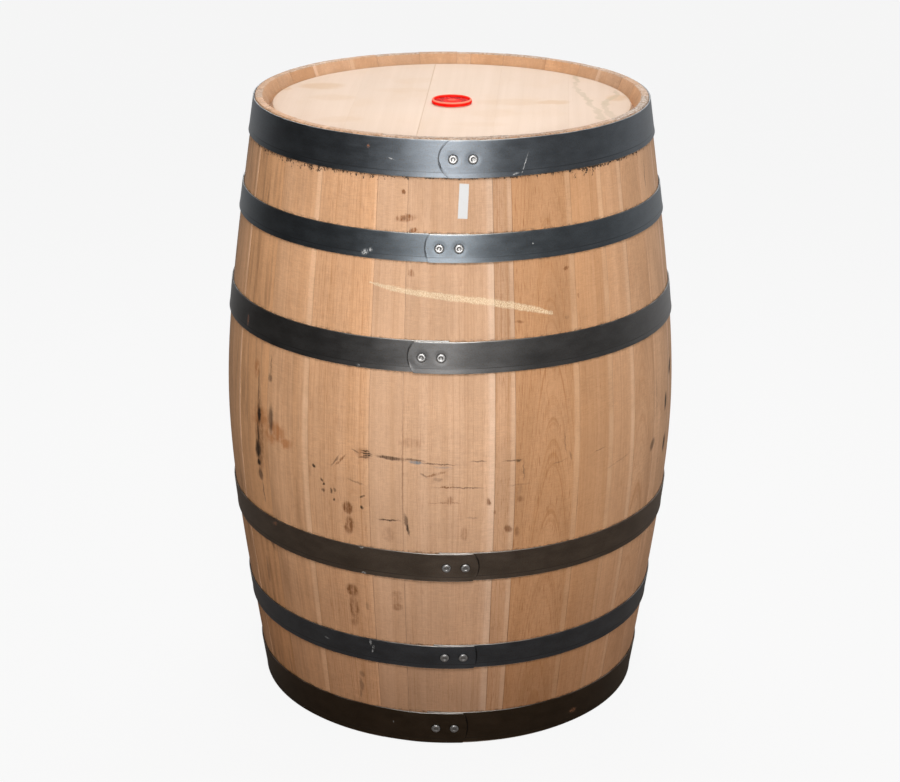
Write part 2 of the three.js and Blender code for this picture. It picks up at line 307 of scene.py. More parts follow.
# angle in degrees, height, half width, half height in mm, turn in degrees, strength. Those from
# 118 degrees on are on the rear, where nothing is seen.
MARKS = {
    "brown": [
        (-25.3, 400, 8, 9.5, 0, 0.55), (-25.2, 372, 7.5, 14.5, -8, 0.45), (-25.6, 261, 9.5, 10.5, 0, 0.5),
        (-25.4, 230, 7.5, 22, 4, 0.36), (-25.5, 206, 5, 8, 0, 0.3), (-13.3, 268, 8, 3, 0, 0.2),
        (-13.3, 244, 8, 6.5, 0, 0.3), (-13.3, 258, 8, 14, 0, 0.15), (-14.9, 366, 9, 12, 0, 0.13),
        (-11.7, 838, 16, 5, 6, 0.42), (-12.4, 874, 3.5, 3, -20, 0.6), (-9.5, 822, 5, 3, 15, 0.7),
        (-9.8, 762, 4.5, 5, 30, 0.32), (0.1, 427, 5, 7, 0, 0.26), (-54.9, 470, 11, 62, 0, 0.36),
        (-20.9, 490, 12, 9, -8, 0.18), (-11.2, 483, 1.1, 76, 0, 0.12), (-9, 515, 18, 7, 0, 0.16),
        (-27, 475, 1.6, 13, -42, 0.5), (-3.2, 468, 14, 1.8, 18, 0.34), (-1.1, 448, 14, 1.2, 0, 0.38),
        (-1, 423, 22, 1.2, 2, 0.26), (3.6, 372, 6, 10, 0, 0.16), (30.3, 758, 5, 2.5, 12, 0.4),
        (33.6, 716, 2, 4, 0, 0.4), (17, 690, 8, 2, -4, 0.35), (118, 560, 8, 12, 0, 0.4),
        (197, 250, 9, 12, 0, 0.4),
    ],
    "rust": [
        (-56.3, 572, 8, 14, 0, 0.75), (-48.4, 485, 27, 17, 20, 0.8), (-44.4, 475, 17, 8, 12, 0.74),
        (-54, 500, 26, 14, 15, 0.65), (-23.5, 424, 9, 8, 0, 0.2),
    ],
    "dark": [
        (-21.4, 238, 3, 7, 0, 0.35), (-24.7, 112, 5, 6, 30, 0.42), (-25.2, 92, 3.5, 13, 4, 0.5),
        (-25.6, 76, 2, 9, 0, 0.45), (-12, 837, 5, 2, 4, 0.25), (-10.4, 820, 2, 4, 0, 0.7),
        (-55.4, 404, 6, 10, 12, 0.8), (-55.2, 540, 2, 34, 1, 0.65), (-54.5, 376, 1.2, 17, 6, 0.7),
        (-49.6, 503, 6, 22, 0, 0.75), (-50.2, 568, 4.5, 7, 10, 0.7), (-50, 588, 1.5, 16, 2, 0.55),
        (-58, 235, 4, 26, -4, 0.4), (-53, 290, 4, 10, 30, 0.5), (-20.8, 485, 9, 1.2, 8, 0.8),
        (-23, 493, 7, 1.1, -24, 0.6), (-14.3, 489, 20, 3, -3, 0.9), (-8.6, 489, 16, 2.2, -3, 0.7),
        (-2.6, 484, 26, 1, -2, 0.75), (-28.3, 473, 1.4, 12, -38, 0.55), (-22.8, 444, 13, 1.6, -12, 0.42),
        (-36, 446, 1.4, 10, 0, 0.25), (-6.1, 466, 6, 1.6, -28, 0.62), (-2.7, 460, 7, 3.2, 0, 0.38),
        (-14.7, 390, 16, 1.4, 3, 0.82), (-10.4, 389, 3, 14, 10, 0.78), (6.8, 488, 11, 1.2, 0, 0.62),
        (15.2, 486, 14, 1.3, 2, 0.62), (4.3, 447, 26, 1.1, -2, 0.62), (17, 447, 16, 1, 0, 0.3),
        (17.9, 467, 1.3, 15, 1, 0.5), (17, 438, 2.5, 9, -6, 0.3), (28.7, 504, 1.1, 17, 4, 0.5),
        (30.3, 479, 1.5, 8, 4, 0.45), (27.2, 474, 12, 1, 8, 0.36), (39.1, 477, 10, 1, 8, 0.42),
        (5.4, 399, 9, 1.2, -8, 0.34), (62.1, 443, 7, 11, -35, 0.8), (64, 520, 1.6, 40, 3, 0.3),
        (46.5, 448, 30, 1, 12, 0.26), (66.2, 856, 1.6, 20, -4, 0.6), (30, 688, 4, 3, 0, 0.3),
        (140, 430, 22, 1.4, -4, 0.6), (186, 500, 18, 1.6, 6, 0.55), (222, 470, 1.6, 26, 2, 0.6),
        (262, 520, 14, 1.4, 12, 0.5),
    ],
    "black": [
        (-54.8, 502, 5.5, 13, -4, 1), (-55.5, 466, 3, 24, 2, 0.8), (-55.9, 444, 8, 15, -3, 1),
        (-55.8, 423, 5.5, 6, -10, 1), (-20.3, 495, 7, 1, -4, 0.8), (-20.1, 491.8, 9, 1.3, -2, 0.9),
        (-19.9, 488.4, 7.5, 1.2, 5, 0.9), (-34.8, 455, 2.2, 2.8, 20, 0.85),
        (-32.5, 436, 1.8, 3.2, 20, 0.8), (-31.9, 430, 1.8, 2.4, -20, 0.8), (-32.1, 420, 2.6, 3.2, 0, 0.6),
        (-29.8, 422, 2, 4, 10, 0.65), (-28.8, 424, 2.2, 3, 0, 0.45), (-29.1, 409, 2, 2.2, 20, 0.7),
        (-21.4, 423, 4.5, 1.8, 30, 0.7), (-21.5, 405, 2.8, 3, 0, 0.8), (-15, 390, 7, 0.9, 3, 0.6),
        (-10, 376, 1.8, 9, 14, 0.65), (16.6, 485, 4, 1.8, 8, 0.6), (71.5, 494, 6, 14, -6, 1),
        (76.5, 540, 8, 13, -20, 0.9), (72, 424, 7, 15, -10, 0.95),
    ],
    "grey": [
        (-8, 485, 10, 2.4, -2, 0.8), (-1.5, 479, 14, 1.6, 0, 0.35),
    ],
    "knot": [
        (9.3, 424, 3.2, 6.5, 12, 0.85), (17.2, 424, 5.5, 5, -20, 0.7), (11, 406, 2.4, 3.4, 0, 0.6),
        (14.5, 377, 5, 6.5, 28, 0.95), (16.7, 372, 3.6, 9, 0, 0.6), (156, 720, 5, 8, 10, 0.8),
        (236, 380, 4.5, 7, 0, 0.8),
    ],
}
MARK_COLOURS = {
    "brown": rgb(0.215, 0.088, 0.034),
    "rust": rgb(0.42, 0.165, 0.057),
    "dark": rgb(0.100, 0.057, 0.035),
    "black": rgb(0.006, 0.005, 0.004),
    "grey": rgb(0.16, 0.19, 0.21),
    "knot": rgb(0.19, 0.080, 0.034),
}
# the chalk stroke: angle in degrees, height in mm, half thickness in mm
CHALK = [(-20.5, 744, 1.2), (-17, 740, 3.4), (-12, 736, 4.9), (-4, 731.5, 5.5), (8, 723, 5.9),
         (15, 715, 5.9), (21, 706.5, 5.4), (25.9, 697, 2.6)]


def mark_mask(s, place, angle, height, across, along, turn, soft=0.5):
    """1 inside an ellipse on the barrel's side, falling to 0 at its edge."""
    angle = (angle + 180) % 360 - 180
    centre = (math.radians(angle) * BELLY_RADIUS, 0, height * MM)
    rotation = (0, -math.radians(turn), 0)
    return s.ellipse(place, centre, rotation, (across * MM, 1, along * MM), 1.35, soft)


def marks_between(marks, low, high):
    """Those of the marks that touch the wood between two angles in degrees."""
    found = []
    for mark in marks:
        reach = math.degrees(max(mark[2], mark[3]) * MM / BELLY_RADIUS) + 0.5
        turn = (mark[0] - (low + high) / 2 + 180) % 360 - 180
        if abs(turn) < (high - low) / 2 + reach:
            found.append(mark)
    return found


# ---------------------------------------------------------------- oak

TAN = (0.545, 0.300, 0.155)
PALE = (0.600, 0.385, 0.250)
# dark colour painted as shade along the hoops' edges
HOOP_SHADE_COLOUR = rgb(0.075, 0.050, 0.034)
HOOP_EDGES = []  # lower and upper edge of every hoop, filled in below


# What the front staves look like. The others, and what is None, come from the seeded generator.
# "sap" is the width of the sapwood in mm, "heart" the middle of a cathedral figure in metres.
# Of these, "shoulder" and "foot" darken the top and the foot of a stave as painted shade.
LOOK_KEYS = ("pale", "value", "grain", "sap", "sapwood", "cathedral", "heart", "drips", "weather",
             "rim", "shoulder", "foot")
STAVE_LOOKS = {
    29: (0.20, 1.18, None, 5, 1.00, False, 0.006, 0.50, 0.60, 0.25, 1.00, 1.00),
    1: (-0.05, 1.22, 0.9, 0, 1.00, False, 0.006, 0.90, 0.75, 0.20, 1.00, 1.00),
    2: (0.25, 1.13, 0.8, 9, 1.00, False, 0.006, 0.90, 0.35, 0.20, 1.00, 1.00),
    3: (0.30, 1.10, 1.3, 4, 0.45, False, 0.006, 0.60, 0.10, 0.30, 1.00, 1.00),
    4: (0.75, 1.02, 0.7, 0, 1.00, False, 0.006, 0.45, 0.00, 0.40, 0.92, 0.84),
    5: (0.85, 0.98, 0.9, 9, 1.00, False, 0.006, 0.12, 0.00, 0.50, 0.87, 0.84),
    6: (0.45, 0.89, 1.9, 7, 1.00, False, 0.006, 0.25, 0.00, 0.55, 0.86, 0.95),
    7: (-0.05, 0.89, 1.3, 9, 1.00, True, 0.006, 0.30, 0.10, 0.40, 0.93, 0.85),
    8: (0.05, 0.91, 0.8, 9, 1.00, False, 0.006, 1.00, 0.00, 0.30, 1.02, 0.90),
    9: (0.30, 0.98, 0.9, 9, 1.00, False, 0.006, 0.70, 0.10, 0.40, 1.00, 1.00),
    10: (0.35, 1.00, 1.0, 0, 1.00, True, -0.01, 0.60, 0.10, 0.70, 1.00, 1.00),
    11: (0.60, 1.08, 0.9, 8, 1.00, False, 0.006, 0.30, 0.30, 0.80, 1.00, 1.00),
    12: (0.60, 1.08, 0.9, 0, 1.00, False, 0.006, 0.30, 0.40, 0.80, 1.00, 1.00),
}


def stave_look(index):
    """The look of a stave: all of it is drawn, then a front stave takes its own values."""
    look = {
        "pale": float(rng.uniform(0.1, 0.7)),
        "value": float(rng.uniform(0.90, 1.04)),
        "grain": float(rng.uniform(0.6, 1.2)),
        "sap": 9.0 if rng.random() < 0.35 else 0.0,
        "cathedral": rng.random() < 0.22,
        "drips": float(rng.uniform(0.2, 0.9)),
        "weather": float(rng.uniform(0.0, 0.5)),
        "rim": float(rng.uniform(0.1, 0.8)),
    }
    look.update(sapwood=1.0, heart=0.006, shoulder=1.0, foot=1.0)
    for key, value in zip(LOOK_KEYS, STAVE_LOOKS.get(index, ())):
        if value is not None:
            look[key] = value
    return look


class StaveOak(Shader):
    """The oak of one stave between two angles (radians): its look, places and noises."""

    def __init__(self, name, index, low, high):
        super().__init__(name)
        self.look = stave_look(index)
        self.seed = tuple(rng.uniform(-40, 40, 3))
        self.low, self.high = low, high
        self.half = (high - low) / 2 * BELLY_RADIUS
        pale, value = self.look["pale"], self.look["value"]
        self.base = [value * (t + (p - t) * pale) for t, p in zip(TAN, PALE)]
        self.contrast = self.look["grain"]
        self.point = self.position()
        self.xyz = self.split(self.point)
        self.wood = self.grain()
        self.axes = self.split(self.wood)
        self.fibre = self.lie_of_the_fibre()
        self.rings = self.noise(self.fibre, (560, 45, 2.6), 3, 0.62, self.seed)
        self.bands = self.noise(self.fibre, (70, 60, 0.9), 3, 0.55, self.seed[::-1])
        self.pores = self.noise(self.wood, (1150, 220, 46), 2, 0.6, self.seed)
        self.cross = self.noise(self.wood, (85, 10, 520), 3, 0.65, self.seed)
        self.brushed = self.noise(self.wood, (7, 10, 16), 2, 0.5, self.seed)
        self.blotch = self.noise(self.wood, (15, 20, 7), 4, 0.58, self.seed)
        self.mottle = self.noise(self.wood, (190, 120, 120), 3, 0.65, self.seed)
        self.face = self.span(self.axes[1], 1.5 * MM, 6.0 * MM, 1.0, 0.20)

    def lie_of_the_fibre(self):
        """Where a point lies in the wood: a slow wander, and arches in a cathedral figure."""
        wander = self.noise(self.wood, (9, 9, 2.2), 2, 0.5, self.seed)
        self.wander = self.minus(wander, 0.5)
        across = self.plus(self.axes[0], self.times(self.wander, 0.010))
        if self.look["cathedral"]:
            self.contrast *= 1.5
            centre = self.minus(across, self.look["heart"])
            across = self.plus(self.times(centre, centre, 16.0), self.times(self.axes[2], 0.11))
        return self.join(across, self.axes[1], self.axes[2])


def growth_rings(s):
    """Bands, rings, pores and grey weathering streaks."""
    s.colour = s.mix(s.span(s.bands, 0.30, 0.70), tint(s.base, 0.95, 0.93, 0.90),
                     tint(s.base, 1.05, 1.06, 1.08))
    line = s.times(s.span(s.rings, 0.48, 0.74), 0.46 * s.contrast, s.face)
    if s.look["cathedral"]:
        line = s.times(line, s.span(s.apart(s.axes[2], HEIGHT / 2), 0.10, 0.30, 0.85, 0.40))
    s.paint(line, tint(s.base, 0.70, 0.58, 0.44))
    s.coat(s.rings, 0.46, 0.24, 0.36, tint(s.base, 1.14, 1.18, 1.24))
    fleck = s.times(s.span(s.pores, 0.54, 0.74), 0.46 * s.contrast, s.face)
    s.paint(fleck, tint(s.base, 0.60, 0.46, 0.33))
    if s.look["weather"]:
        streak = s.noise(s.fibre, (75, 60, 5), 4, 0.68, s.seed)
        grey = s.times(s.span(streak, 0.44, 0.70), s.span(s.blotch, 0.30, 0.62))
        s.paint(s.times(grey, s.face, s.look["weather"]), rgb(0.270, 0.140, 0.070))


def sanding(s):
    """Fine light and dark of the sanded surface, as a brightness."""
    strokes = s.minus(s.span(s.cross, 0.30, 0.72, 1.040, 0.945), 1.0)
    strokes = s.plus(1.0, s.times(strokes, s.span(s.brushed, 0.3, 0.6, 0.35, 1.2)))
    patches = s.times(s.span(s.blotch, 0.28, 0.74, 1.05, 0.92), s.span(s.mottle, 0.3, 0.7, 1.025, 0.965))
    grit = s.noise(s.wood, (1500, 300, 950), 2, 0.7)
    return s.times(strokes, patches, s.span(grit, 0.32, 0.68, 1.085, 0.905))


def sapwood(s):
    """Pale sapwood along the right-hand joint."""
    width = s.look["sap"] * MM
    if width:
        edge = s.plus(s.axes[0], s.times(s.wander, 0.006))
        stripe = s.span(edge, s.half - width * 1.35, s.half - width * 0.75)
        fade = s.span(s.brushed, 0.25, 0.65, 0.85, 0.50)
        s.paint(s.times(stripe, fade, s.look["sapwood"]), tint(s.base, 1.22, 1.36, 1.55))


def end_grain(s):
    """Weathered end grain on both rims."""
    rim = s.most(s.span(s.xyz[2], HEIGHT - 2.2 * MM, HEIGHT - 0.9 * MM),
                 s.span(s.xyz[2], 2.2 * MM, 0.9 * MM))
    speck = s.noise(s.point, (330, 330, 330), 3, 0.7)
    grey = s.mix(s.span(speck, 0.38, 0.52), rgb(0.20, 0.115, 0.065), rgb(0.47, 0.42, 0.37))
    grey = s.mix(s.span(speck, 0.55, 0.66), grey, rgb(0.66, 0.64, 0.61))
    s.paint(s.times(rim, s.look["rim"]), grey)


def joint_dirt(s):
    """Dirt in the joints at both sides of the stave."""
    from_joint = s.minus(s.half, s.math("ABSOLUTE", s.axes[0]))
    dirt = s.times(s.span(from_joint, 1.1 * MM, 0.1 * MM), s.span(s.brushed, 0.35, 0.65, 0.08, 0.55))
    s.paint(dirt, tint(s.base, 0.5, 0.5, 0.5))


def iron_drips(s):
    """Clotted iron stain under the top hoop, and a brown halo round it."""
    below = s.minus(HOOP_EDGES[0][0], s.xyz[2])
    under_hoop = s.span(below, -2 * MM, 0.0)
    clot = s.noise(s.wood, (230, 60, 190), 4, 0.72, s.seed)
    thinning = s.times(below, 16.0 / (0.25 + s.look["drips"]))
    drip = s.times(s.span(s.minus(clot, thinning), 0.46, 0.505), under_hoop)
    halo = s.times(s.span(below, 8 * MM, 0.0), under_hoop)
    s.paint(s.times(halo, 0.22), rgb(0.29, 0.155, 0.080))
    s.paint(s.times(drip, 0.93), rgb(0.022, 0.018, 0.015))


def hoop_edge_shade(s):
    """Painted shade against the edges of the hoops, on the outside of the stave, made patchy with a
    noise.
    """
    shade_band = 0.0
    for low_edge, high_edge in HOOP_EDGES:
        under = s.span(s.minus(low_edge, s.xyz[2]), 0.006, 0.0)
        over = s.span(s.minus(s.xyz[2], high_edge), 0.004, 0.0)
        shade_band = s.most(shade_band, s.times(under, over))
    patchy = s.span(s.noise(s.wood, (160, 90, 160), 4, 0.7, s.seed), 0.42, 0.66)
    outside = s.span(s.axes[1], 0.5 * MM, 2.0 * MM, 1.0, 0.0)
    # painted shade: darker wood against the hoops' edges
    s.paint(s.times(shade_band, outside, patchy, 0.62), HOOP_SHADE_COLOUR)


def painted_height_shade(s):
    """Painted shade: the shoulder and foot of some front staves darker, and every stave darker and warmer
    towards the floor, where less light falls.
    """
    shoulder = s.span(s.xyz[2], 0.55, 0.74, 1.0, s.look["shoulder"])
    s.shade(s.times(shoulder, s.span(s.xyz[2], 0.20, 0.06, 1.0, s.look["foot"])))
    # painted shade: darker and warmer towards the floor
    floor_shade = s.mix(1.0, s.colour, rgb(0.895, 0.82, 0.77), "MULTIPLY")
    s.paint(s.span(s.xyz[2], 0.52, 0.02), floor_shade)


def stave_marks(s, place):
    """Stains, scuffs and knots. Gives back the mask of those that go into the wood."""
    streaky = s.span(s.rings, 0.34, 0.60, 0.68, 1.12)
    striped = s.times(s.span(s.rings, 0.36, 0.56, 0.35, 1.25), s.span(s.mottle, 0.34, 0.56, 0.60, 1.15))
    gouges = 0.0
    for kind, colour in MARK_COLOURS.items():
        soft, gain, broken = (0.60, 1.7, striped) if kind == "brown" else (0.5, 1.0, streaky)
        mask = None
        for *shape, strength in marks_between(MARKS[kind], math.degrees(s.low), math.degrees(s.high)):
            one = s.times(mark_mask(s, place, *shape, soft), min(1.0, strength * gain))
            mask = one if mask is None else s.most(mask, one)
        if mask is None:
            continue
        if kind == "rust":
            mask = s.times(mask, s.span(s.noise(s.wood, (70, 60, 55), 3, 0.6, s.seed), 0.30, 0.56))
        mask = s.math("MULTIPLY", mask, broken, clamp=True)
        s.paint(mask, colour)
        if kind in ("dark", "black", "knot"):
            gouges = s.most(gouges, mask)
    return gouges


def stroke_mask(s, along, across, stations, low=-1, high=1):
    """A ragged stroke through stations (along, across, half thickness), as a chain of bands.

    Only the bands between low and high are made. None, if there are none.
    """
    mask = None
    for (a0, c0, t0), (a1, c1, t1) in zip(stations, stations[1:]):
        if a1 < low or a0 > high:
            continue
        share = s.node("MapRange", {0: along, 1: a0, 2: a1, 3: 0.0, 4: 1.0})
        middle = s.plus(s.times(share, c1 - c0), c0)
        thick = s.plus(s.times(share, t1 - t0), t0)
        band = s.span(s.math("DIVIDE", s.apart(across, middle), thick), 1.1, 0.5)
        inside = s.times(s.math("GREATER_THAN", along, a0), s.math("LESS_THAN", along, a1))
        band = s.times(band, inside)
        mask = band if mask is None else s.most(mask, band)
    return mask


def chalk_stroke(s, place, roughness):
    """The chalk stroke across the front. Gives back the roughness with the chalk on it."""
    stations = [(math.radians(a) * BELLY_RADIUS, z * MM, t * MM) for a, z, t in CHALK]
    flat = s.split(place)
    low, high = s.low * BELLY_RADIUS - 2 * MM, s.high * BELLY_RADIUS + 2 * MM
    stroke = stroke_mask(s, flat[0], flat[2], stations, low, high)
    if stroke is None:
        return roughness
    dust = s.noise(s.wood, (620, 500, 480), 2, 0.75)
    stroke = s.times(stroke, s.span(dust, 0.41, 0.56, 0.14, 0.86))
    s.paint(stroke, rgb(0.70, 0.565, 0.385))
    return s.plus(roughness, s.times(stroke, 0.25))


def oak_stave(name, index, low, high):
    """Material of one stave between two angles (radians)."""
    s = StaveOak(name, index, low, high)
    growth_rings(s)
    sapwood(s)
    end_grain(s)
    joint_dirt(s)
    iron_drips(s)
    hoop_edge_shade(s)
    painted_height_shade(s)
    flat = s.join(s.arc(s.xyz), 0.0, s.xyz[2])
    place = s.stirred(flat, (150, 150, 110), (0.0080, 0, 0.0066))
    gouges = stave_marks(s, place)
    roughness = chalk_stroke(s, place, s.span(s.blotch, 0.2, 0.8, 0.58, 0.72))
    s.shade(sanding(s))
    height = s.plus(s.times(s.rings, -0.6), s.times(s.pores, -0.5), s.times(s.cross, 0.35),
                    s.times(gouges, -2.2))
    normal = s.bump(height, 0.00025, 0.55)
    return s.finish(Roughness=roughness, Normal=normal, Specular_IOR_Level=0.18)


# ---------------------------------------------------------------- staves


def chime_points():
    """Inside of a stave's end from the rim towards the belly: radius, distance from the end."""
    groove = CHIME_INNER + CROZE_DEPTH
    near = CHIME_DEPTH + CROZE_SLOPE
    far = near + CROZE_WIDTH
    rim = END_RADIUS - RIM_WIDTH
    lip = far + CROZE_SLOPE
    points = [(rim + 0.0011, 0.0), (rim + 0.0003, 0.0003), (rim - 0.0003, 0.0012)]
    for share in (0.25, 0.5, 0.75, 0.97):
        points.append((rim + (CHIME_INNER - rim) * share, CHIME_DEPTH * share))
    points += [(CHIME_INNER, CHIME_DEPTH + 0.0001), (groove, near), (groove, far)]
    points += [(float(outer_radius(HEIGHT - lip)) - STAVE_THICKNESS, lip)]
    return points


def stave_outline():
    """Closed outline, radius against height: up the outside, down the inside."""
    corner = 0.0014
    arc = np.radians(np.linspace(0, 90, 5))
    outside = [(float(outer_radius(z)), z) for z in np.linspace(corner, HEIGHT - corner, 57)]
    top = [(END_RADIUS - corner + corner * math.cos(a), HEIGHT - corner + corner * math.sin(a))
           for a in arc[1:]]
    bottom = [(r, HEIGHT - z) for r, z in reversed(top)]
    chime = chime_points()
    lip = chime[-1][1]
    inside = [(float(outer_radius(z)) - STAVE_THICKNESS, z)
              for z in np.linspace(HEIGHT - lip, lip, 15)[1:-1]]
    upper = [(r, HEIGHT - d) for r, d in chime]
    lower = [(r, d) for r, d in reversed(chime)]
    return np.array(bottom + outside + top + upper + inside + lower)


def inward(outline, distance):
    """The outline moved in by a distance, along its own normals."""
    ahead, behind = np.roll(outline, -1, 0), np.roll(outline, 1, 0)
    along = ahead - behind
    along /= np.linalg.norm(along, axis=1)[:, None]
    normal = np.stack([along[:, 1], -along[:, 0]], 1)
    return outline - normal * distance


END_ZONE = 0.012  # the part at the top of a stave that comes down with a short end
EDGE_ZONE = 0.0015  # the top edge, where the end is cut a little unevenly


def stave_stops(arc, low, high):
    """Stations across a stave with its two eased edges, and how far each one is moved in."""
    left, right = rng.uniform(0.06, 0.18, 2) * MM
    support = 0.9 * MM
    inner = np.linspace(0, arc, max(3, math.ceil(math.degrees(high - low) / 2.2)) + 1)[1:-1]
    rising = np.array([0, 0.3, 1.0]) * left
    falling = arc - np.array([1.0, 0.3, 0]) * right
    stops = np.concatenate([rising, [left + support], inner, [falling[0] - support], falling])
    insets = np.concatenate([[left, 0.3 * left], np.zeros(len(stops) - 4), [0.3 * right, right]])
    return stops, insets


def add_stave(node, index, outline):
    low, high = node_angles(node)
    arc = (high - low) * BELLY_RADIUS
    stops, insets = stave_stops(arc, low, high)
    sink = float(rng.uniform(0.02, 0.35)) * MM
    short = 0.0 if index % 3 == 0 else float(rng.uniform(0.1, 0.5)) * MM
    crown = float(rng.uniform(0.0, 0.25)) * MM
    points, grain = [], []
    for stop, inset in zip(stops, insets):
        ring = inward(outline, inset)
        side = 2 * stop / arc - 1
        radius = ring[:, 0] - sink - crown * side * side
        z = ring[:, 1].copy()
        z[z > HEIGHT - END_ZONE] -= short
        if inset == 0:
            nick = rng.uniform(0, 0.22) * MM
            z[(z > HEIGHT - EDGE_ZONE) & (z < HEIGHT)] -= nick
        points.append(round_barrel(radius, low + stop / BELLY_RADIUS, z))
        depth = outer_radius(np.clip(ring[:, 1], 0, HEIGHT)) - ring[:, 0]
        grain.append(np.stack([np.full(len(z), stop - arc / 2), depth, ring[:, 1]], 1))
    count = len(outline)
    faces = wall(len(stops), count) + caps(len(stops), count)
    name = f"oak_{node}"
    material = oak_stave(name, index, low, high)
    add_piece(name, points, faces, node, material, np.concatenate(grain))


# ---------------------------------------------------------------- heads

HEAD_FACE = 0.015  # stave ends to the outer face
BOARD_JOINTS = [-0.1474, -0.0394, 0.0686, 0.1766]
SEEN_JOINT = -0.0394  # the one that gapes a little
TOP_TURN = -2.7
BOTTOM_TURN = 24.0
GAP = 0.0003  # between the head and the bung's flange
BOARD_GAP = 0.00004
TONGUE = 0.006  # how far a board's tongue stands out
PAST_HEAD = 0.3  # further out than the head's edge
BORED_BOARD = "top_head_board_3"
BUNG_HOLE = 0.025
OUTER_BEVEL = 0.0008  # of the hole at the head's outer face, and at its inner one
INNER_BEVEL = 0.0005
BEVEL_SHADE_LINE = 270.2 * MM  # radius of the painted shade line along the edge of the head's bevel
HEAD_OAK = (0.702, 0.540, 0.424)
# colour of the darkening near the rim and of the painted shade line at the bevel
HEAD_DIRT_AND_SHADE = rgb(0.44, 0.28, 0.16)


def head_levels():
    """Depth below the outer face, radius, joint edge: -1 chamfered, 0 plain, 1 tongue."""
    chamfer = 0.0002
    return [
        (0.0, 0.2702, -1), (chamfer, 0.2706, 0), (0.009, 0.2757, 0), (0.009, 0.2757, 1),
        (0.0095, 0.2760, 1), (0.0096, 0.2800, 1), (0.0155, 0.2800, 1), (0.0156, 0.2734, 1),
        (0.016, 0.2733, 1), (0.016, 0.2733, 0), (0.0245, 0.2712, 0), (0.025, 0.2708, -1),
    ]


def board_outline(left, right, radius, steps=26):
    """Board between two across-positions, cut by a circle: along the right edge's arc and back."""
    low = max(left, -radius)
    high = min(right, radius)
    start, stop = math.acos(high / radius), math.acos(low / radius)
    turn = np.linspace(start, stop, steps)
    far = np.stack([radius * np.cos(turn), radius * np.sin(turn)], 1)
    near = far[::-1] * (1, -1)
    return np.concatenate([far, near])


def board_rings(left, right, tongued, grooved):
    """Closed rings of points down a board's edge, from its outer face to its inner one."""
    chamfer = float(rng.uniform(0.02, 0.06)) * MM
    sink = float(rng.uniform(0.0, 0.05)) * MM
    rings = []
    for depth, radius, joint in head_levels():
        a, b = left, right
        if joint == -1:
            a, b = left + chamfer, right - chamfer
        if joint == 1:
            a = left + (TONGUE + BOARD_GAP if grooved else 0)
            b = right + (TONGUE if tongued else 0)
        outline = board_outline(a, b, radius)
        z = -depth - (sink if depth == 0 else 0)
        rings.append(np.column_stack([outline, np.full(len(outline), z)]))
    return rings


def add_board(prefix, number):
    """One of a head's boards, made lying face up round the origin and then put in place."""
    node = f"{prefix}_head_board_{number}"
    flipped = prefix == "bottom"
    edges = [-PAST_HEAD] + BOARD_JOINTS + [PAST_HEAD]
    left, right = edges[number - 1] + BOARD_GAP / 2, edges[number] - BOARD_GAP / 2
    rings = board_rings(left, right, number < 5, number > 1)
    count = len(rings[0])
    points = np.concatenate(rings)
    faces = wall(len(rings), count)
    if node == BORED_BOARD:
        points, faces = bore(points, faces, count, len(rings), math.radians(TOP_TURN))
    else:
        faces += caps(len(rings), count)
    grain = np.stack([points[:, 0], points[:, 2], points[:, 1]], 1)
    turn = math.radians(BOTTOM_TURN if flipped else TOP_TURN)
    spin = np.array([[math.cos(turn), -math.sin(turn)], [math.sin(turn), math.cos(turn)]])
    placed = points.copy()
    placed[:, :2] = points[:, :2] @ spin.T
    if flipped:
        placed[:, 1:] *= -1
    placed[:, 2] += HEAD_FACE if flipped else HEIGHT - HEAD_FACE
    name = f"oak_{node}"
    piece = add_piece(name, placed, faces, node, oak_head(name, flipped), grain, 30)
    clean(piece)


def bore(points, faces, count, levels, turn):
    """Cuts the bung hole through a board's two flat faces, with a chamfered wall."""
    around = np.linspace(0, 2 * math.pi, 72, endpoint=False)
    size = len(around)
    middle = sum(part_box("bung"), Vector()) / 2
    centre = np.array([middle.x * math.cos(turn) + middle.y * math.sin(turn),
                       middle.y * math.cos(turn) - middle.x * math.sin(turn)])
    top, bottom = points[0, 2], points[-1, 2]
    depths = [(top, BUNG_HOLE + OUTER_BEVEL), (-OUTER_BEVEL, BUNG_HOLE),
              (bottom + INNER_BEVEL, BUNG_HOLE), (bottom, BUNG_HOLE + INNER_BEVEL)]
    base = len(points)
    for depth, radius in depths:
        circle = centre + radius * np.stack([np.cos(around), np.sin(around)], 1)
        points = np.concatenate([points, np.column_stack([circle, np.full(size, depth)])])
    faces += wall(len(depths), size, base, turned=True)
    faces += holed_face(points, 0, count, base, size, centre, True)
    last_ring = base + (len(depths) - 1) * size
    faces += holed_face(points, (levels - 1) * count, count, last_ring, size, centre, False)
    return points, faces


def holed_face(points, outline, count, hole, size, centre, up):
    """Triangles between an outline and the hole in it, facing up or down."""
    ids = list(range(outline, outline + count)) + list(range(hole, hole + size))
    flat = [Vector(points[i, :2]) for i in ids]
    borders = [(k, (k + 1) % count) for k in range(count)]
    borders += [(count + k, count + (k + 1) % size) for k in range(size)]
    found = delaunay_2d_cdt(flat, borders, [], 1, 1e-7)
    back = [origin[0] for origin in found[3]]
    faces = []
    for triangle in found[2]:
        corner = [ids[back[v]] for v in triangle]
        a, b, c = points[corner, :2]
        if np.linalg.norm((a + b + c) / 3 - centre) < BUNG_HOLE:
            continue
        area = (b[0] - a[0]) * (c[1] - a[1]) - (c[0] - a[0]) * (b[1] - a[1])
        faces.append(tuple(corner) if (area > 0) == up else tuple(reversed(corner)))
    return faces


def clean(piece):
    """Merges doubled corners and points all faces out."""
    work = bmesh.new()
    work.from_mesh(piece.data)
    bmesh.ops.remove_doubles(work, verts=work.verts, dist=1e-6)
    bmesh.ops.recalc_face_normals(work, faces=work.faces)
    work.to_mesh(piece.data)
    work.free()


